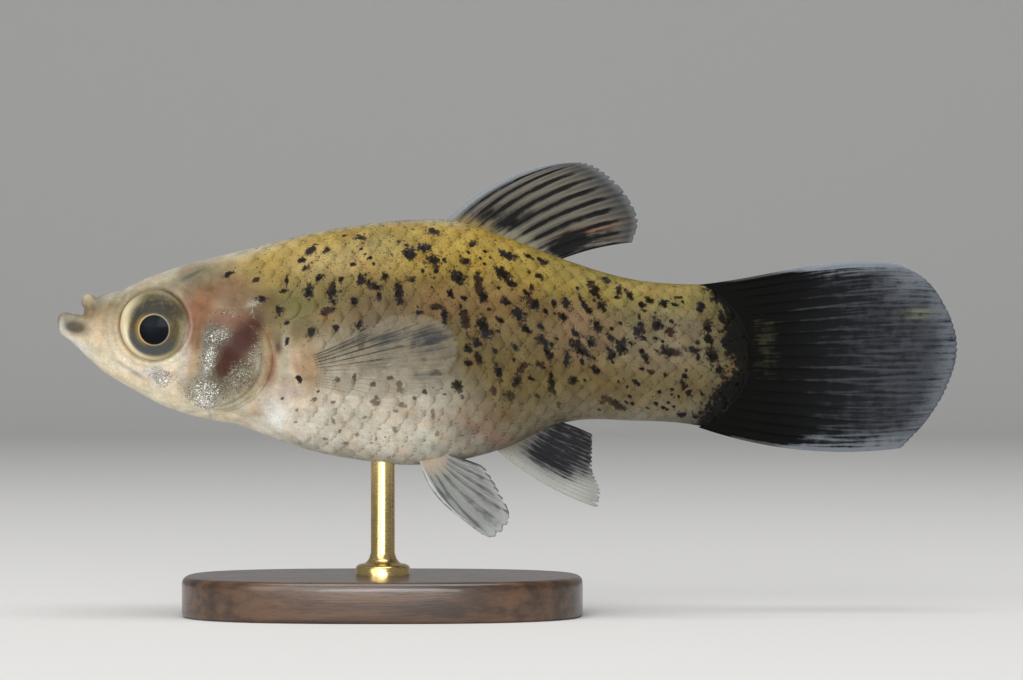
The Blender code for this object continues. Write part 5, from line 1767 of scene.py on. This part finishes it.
def turned_rod():
    """The rod and its collar, turned from one profile."""
    low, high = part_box("stand_rod")
    foot, top = low.z / MM - ROD_INTO_BASE, high.z / MM + ROD_INTO_FISH
    points = [(radius, 0.0, foot + height) for radius, height in ROD_PROFILE]
    points += [(ROD_RADIUS, 0.0, top), (0.0, 0.0, top)]
    edges = [(k, k + 1) for k in range(len(points) - 1)]
    rod = mesh_piece("stand_rod_brass", points, [], edges, outward=False)
    select_only(rod)
    bpy.ops.object.mode_set(mode="EDIT")
    bpy.ops.mesh.select_all(action="SELECT")
    bpy.ops.mesh.spin(steps=64, angle=2 * math.pi, center=(0, 0, 0), axis=(0, 0, 1))
    bpy.ops.mesh.select_all(action="SELECT")
    bpy.ops.mesh.remove_doubles(threshold=0.001)
    bpy.ops.mesh.normals_make_consistent(inside=False)
    bpy.ops.object.mode_set(mode="OBJECT")
    return rod


def wood_finish():
    """Dark wood with long grain and fine pores, under varnish."""
    stand = props("stand")
    finish = Finish("varnished_wood")
    place = finish.millimetres((0.06, 0.9, 0.9))
    warp = finish.noise(finish.millimetres((0.1, 0.25, 0.25)), 1.0, 3.0)
    lines = finish.noise(place, 1.6, 5.0, 0.65)
    lines = finish.plus(lines, finish.times(warp, 0.35))
    grain = finish.mix(finish.step(lines, 0.5, 0.85), stand.wood, stand.wood_dark)
    pores = finish.noise(finish.millimetres((0.5, 9.0, 9.0)), 1.0, 2.0, 0.6)
    grain = finish.mix(finish.step(pores, 0.55, 0.75, 0.0, 0.55), grain, stand.wood_dark)
    rough = finish.step(pores, 0.3, 0.7, 0.32, 0.45)
    finish.set(Base_Color=grain, Roughness=rough, Coat_Weight=0.5, Coat_Roughness=0.12)
    finish.bumps(pores, 0.03, 0.4)
    return finish.material


def brass_finish():
    """Polished brass with fine turning marks and a little tarnish."""
    stand = props("stand")
    finish = Finish("polished_brass")
    scratches = finish.noise(finish.millimetres((1.0, 1.0, 14.0)), 2.0, 3.0, 0.6)
    tarnish = finish.noise(finish.millimetres(), 0.8, 4.0, 0.6)
    tarnish = finish.step(tarnish, 0.4, 0.75, 0.0, 0.35)
    finish.set(Base_Color=finish.mix(tarnish, stand.brass, (0.36, 0.24, 0.1)), Metallic=1.0)
    finish.set(Roughness=finish.step(scratches, 0.3, 0.7, 0.16, 0.3))
    finish.bumps(scratches, 0.01, 0.3)
    return finish.material


# Stage

def sweep():
    """A floor that curves up into a backdrop."""
    stage = props("stage")
    profile = [(FLOOR_FRONT, 0.0)]
    for turn in np.linspace(0, math.pi / 2, 25):
        back = BACKDROP_START + BACKDROP_CURVE * math.sin(turn)
        profile.append((back, BACKDROP_CURVE * (1 - math.cos(turn))))
    profile.append((BACKDROP_START + BACKDROP_CURVE, BACKDROP_TOP))
    points = [(x, y, z) for y, z in profile for x in (-FLOOR_HALF_WIDTH, FLOOR_HALF_WIDTH)]
    faces = [(2 * k, 2 * k + 1, 2 * k + 3, 2 * k + 2) for k in range(len(profile) - 1)]
    floor = mesh_piece("stage_floor", points, faces, outward=False)
    select_only(floor)
    bpy.ops.object.shade_smooth()
    finish = Finish("stage_paper")
    tone = finish.step(finish.noise(finish.millimetres(), 0.02, 2.0), 0.3, 0.7, 0.0, 0.05)
    paper = finish.mix(tone, stage.floor, (0.7, 0.69, 0.67))
    finish.set(Base_Color=paper, Roughness=0.9, Specular_IOR_Level=0.1)
    floor.data.materials.append(finish.material)


def area_light(name, power, size, place, target, tint=(1.0, 1.0, 1.0)):
    lamp = bpy.data.lights.new(name, "AREA")
    lamp.energy = power
    lamp.shape = "DISK"
    lamp.size = size
    lamp.color = tint
    holder = new_object(name, lamp)
    holder.location = place
    holder.rotation_euler = (Vector(target) - Vector(place)).to_track_quat("-Z", "Y").to_euler()


def camera():
    """Looks level along +Y at the fish's left side, with the photograph's framing."""
    stage = props("stage")
    middle_s, middle_h = photo_place(PHOTO_SIZE[0] / 2, PHOTO_SIZE[1] / 2)
    wide = PHOTO_SIZE[0] / PIXELS_PER_MM
    distance = wide * stage.lens / stage.sensor
    made = bpy.data.cameras.new("camera")
    made.lens = stage.lens
    made.sensor_width = stage.sensor
    made.clip_start = 0.01
    made.clip_end = 10.0
    holder = new_object("camera", made)
    holder.location = ((middle_s + SNOUT_X) * MM, -distance * MM, (middle_h + AXIS_HEIGHT) * MM)
    holder.rotation_euler = (math.pi / 2, 0.0, 0.0)
    bpy.context.scene.camera = holder


# Operators

class PLATYFISH_OT_skin(bpy.types.Operator):
    """Builds the one skin of head, jaws and trunk"""

    bl_idname = "platyfish.skin"
    bl_label = "Skin"

    def execute(self, context):
        nodes = ("head", "lower_jaw", "upper_jaw", "torso_front", "torso_rear", "tail_stalk")
        settle(fish_skin(), "flesh", *nodes, material=hide_finish("fish_skin_finish", False))
        return {"FINISHED"}


class PLATYFISH_OT_gill_covers(bpy.types.Operator):
    """Builds the gill covers"""

    bl_idname = "platyfish.gill_covers"
    bl_label = "Gill covers"

    def execute(self, context):
        material = hide_finish("gill_cover_finish", False)
        for word, side in SIDES:
            cover, place = cover_plate("gill_plate_" + word, side)
            paint_cover(cover, place, side)
            settle(cover, "gill_cover", "gill_cover_" + word, material=material)
        return {"FINISHED"}


class PLATYFISH_OT_scales(bpy.types.Operator):
    """Lays the scales of both sides"""

    bl_idname = "platyfish.scales"
    bl_label = "Scales"

    def execute(self, context):
        material = hide_finish("scale_finish", True)
        for word, side in SIDES:
            settle(scale_coat("scales_" + word, side), "flesh", material=material)
        return {"FINISHED"}


class PLATYFISH_OT_eyes(bpy.types.Operator):
    """Builds the eyes"""

    bl_idname = "platyfish.eyes"
    bl_label = "Eyes"

    def execute(self, context):
        material = eye_finish()
        for word, side in SIDES:
            settle(eye_ball("eye_ball_" + word, side), "eye", "eye_" + word, material=material)
        return {"FINISHED"}


class PLATYFISH_OT_fins(bpy.types.Operator):
    """Builds all the fins"""

    bl_idname = "platyfish.fins"
    bl_label = "Fins"

    def execute(self, context):
        solid = fin_finish("fin_finish")
        clear = fin_finish("pectoral_finish", see_through=True)
        dorsal = flat_fin(DORSAL_ROOT, TOP, DORSAL_EDGE, DORSAL_BOW, 0.25)
        anal = flat_fin(ANAL_ROOT, FOOT, ANAL_EDGE, ANAL_BOW, 0.2)

        # Node, middle surface, rays, depth of the notches, height of the rays, painter, slot
        rows = [
            ("dorsal_fin", dorsal, DORSAL_RAYS, 0.016, 0.8, paint_dorsal, "fin_membrane"),
            ("anal_fin", anal, ANAL_RAYS, 0.03, 0.6, paint_anal, "fin_membrane"),
            ("tail_fin", tail_line, TAIL_RAYS, 0.004, 0.45, paint_tail, "dark_fin"),
        ]
        for word, side in SIDES:
            pelvic = (pelvic_line(side), PELVIC_RAYS, 0.045, 0.7, paint_pelvic, "fin_membrane")
            pectoral = (pectoral_line(side), PECTORAL_RAYS, 0.01, 0.35, paint_pectoral, "fin_membrane")
            rows += [("pelvic_fin_" + word, *pelvic), ("pectoral_fin_" + word, *pectoral)]
        for seed, (node, line, rays, fray, ray_height, painter, slot) in enumerate(rows):
            is_pectoral = painter is paint_pectoral
            blade, place = fin_blade(node + "_blade", line, rays, not is_pectoral, fray, ray_height, seed)
            paint, shade, ink, uneven = painter(place)
            give_value(blade, "uneven", uneven)
            give_colour(blade, "paint", paint)
            give_colour(blade, "shade", shade)
            give_value(blade, "ink", ink)
            if is_pectoral:
                give_value(blade, "cover", pectoral_cover(place))
            settle(blade, slot, node, material=clear if is_pectoral else solid)
        return {"FINISHED"}


class PLATYFISH_OT_stand(bpy.types.Operator):
    """Builds the wooden base and the brass rod"""

    bl_idname = "platyfish.stand"
    bl_label = "Stand"

    def execute(self, context):
        made = {"to_frame": STAND_TO_FRAME, "crease": math.radians(35)}
        settle(oval_base(), "stand_wood", "stand_base", material=wood_finish(), **made)
        settle(turned_rod(), "stand_brass", "stand_rod", material=brass_finish(), **made)
        return {"FINISHED"}


class PLATYFISH_OT_stage(bpy.types.Operator):
    """Sets the floor, the lights and the camera"""

    bl_idname = "platyfish.stage"
    bl_label = "Stage"

    def execute(self, context):
        stage = props("stage")
        sweep()
        middle = (0.008, 0.0, 0.017)
        area_light("key", stage.key, 0.6, (-0.18, -0.5, 0.2), middle, (1.0, 0.99, 0.97))
        area_light("fill", stage.fill, 0.3, (0.02, -0.5, 0.03), middle, (0.97, 0.98, 1.0))
        area_light("top", stage.top, 0.4, (0.0, -0.08, 0.45), middle)
        world = bpy.data.worlds.new("studio")
        world.use_nodes = True
        background = world.node_tree.nodes["Background"]
        background.inputs["Color"].default_value = (0.93, 0.95, 1.0, 1.0)
        background.inputs["Strength"].default_value = stage.world
        context.scene.world = world
        context.scene.view_settings.view_transform = "Standard"
        camera()
        return {"FINISHED"}


class PLATYFISH_PT_panel(bpy.types.Panel):
    """Lists the steps in the sidebar"""

    bl_idname = "PLATYFISH_PT_panel"
    bl_label = "Platyfish"
    bl_space_type = "VIEW_3D"
    bl_region_type = "UI"
    bl_category = "Platyfish"

    def draw(self, context):
        for step in STEPS:
            self.layout.operator(step.bl_idname)


STEPS = (
    PLATYFISH_OT_stage,
    PLATYFISH_OT_skin,
    PLATYFISH_OT_gill_covers,
    PLATYFISH_OT_scales,
    PLATYFISH_OT_eyes,
    PLATYFISH_OT_fins,
    PLATYFISH_OT_stand,
)
GROUPS = {
    "hide": PlatyfishHide,
    "eye": PlatyfishEye,
    "fins": PlatyfishFins,
    "stand": PlatyfishStand,
    "stage": PlatyfishStage,
}


def register():
    for made in (*GROUPS.values(), *STEPS, PLATYFISH_PT_panel):
        bpy.utils.register_class(made)
    for name, group in GROUPS.items():
        setattr(bpy.types.Scene, "platyfish_" + name, bpy.props.PointerProperty(type=group))


def unregister():
    for name in GROUPS:
        delattr(bpy.types.Scene, "platyfish_" + name)
    for made in (PLATYFISH_PT_panel, *reversed(STEPS), *GROUPS.values()):
        bpy.utils.unregister_class(made)


def main():
    register()
    bpy.ops.platyfish.stage()
    bpy.ops.platyfish.skin()
    bpy.ops.platyfish.gill_covers()
    bpy.ops.platyfish.scales()
    bpy.ops.platyfish.eyes()
    bpy.ops.platyfish.fins()
    bpy.ops.platyfish.stand()


if __name__ == "__main__":
    main()
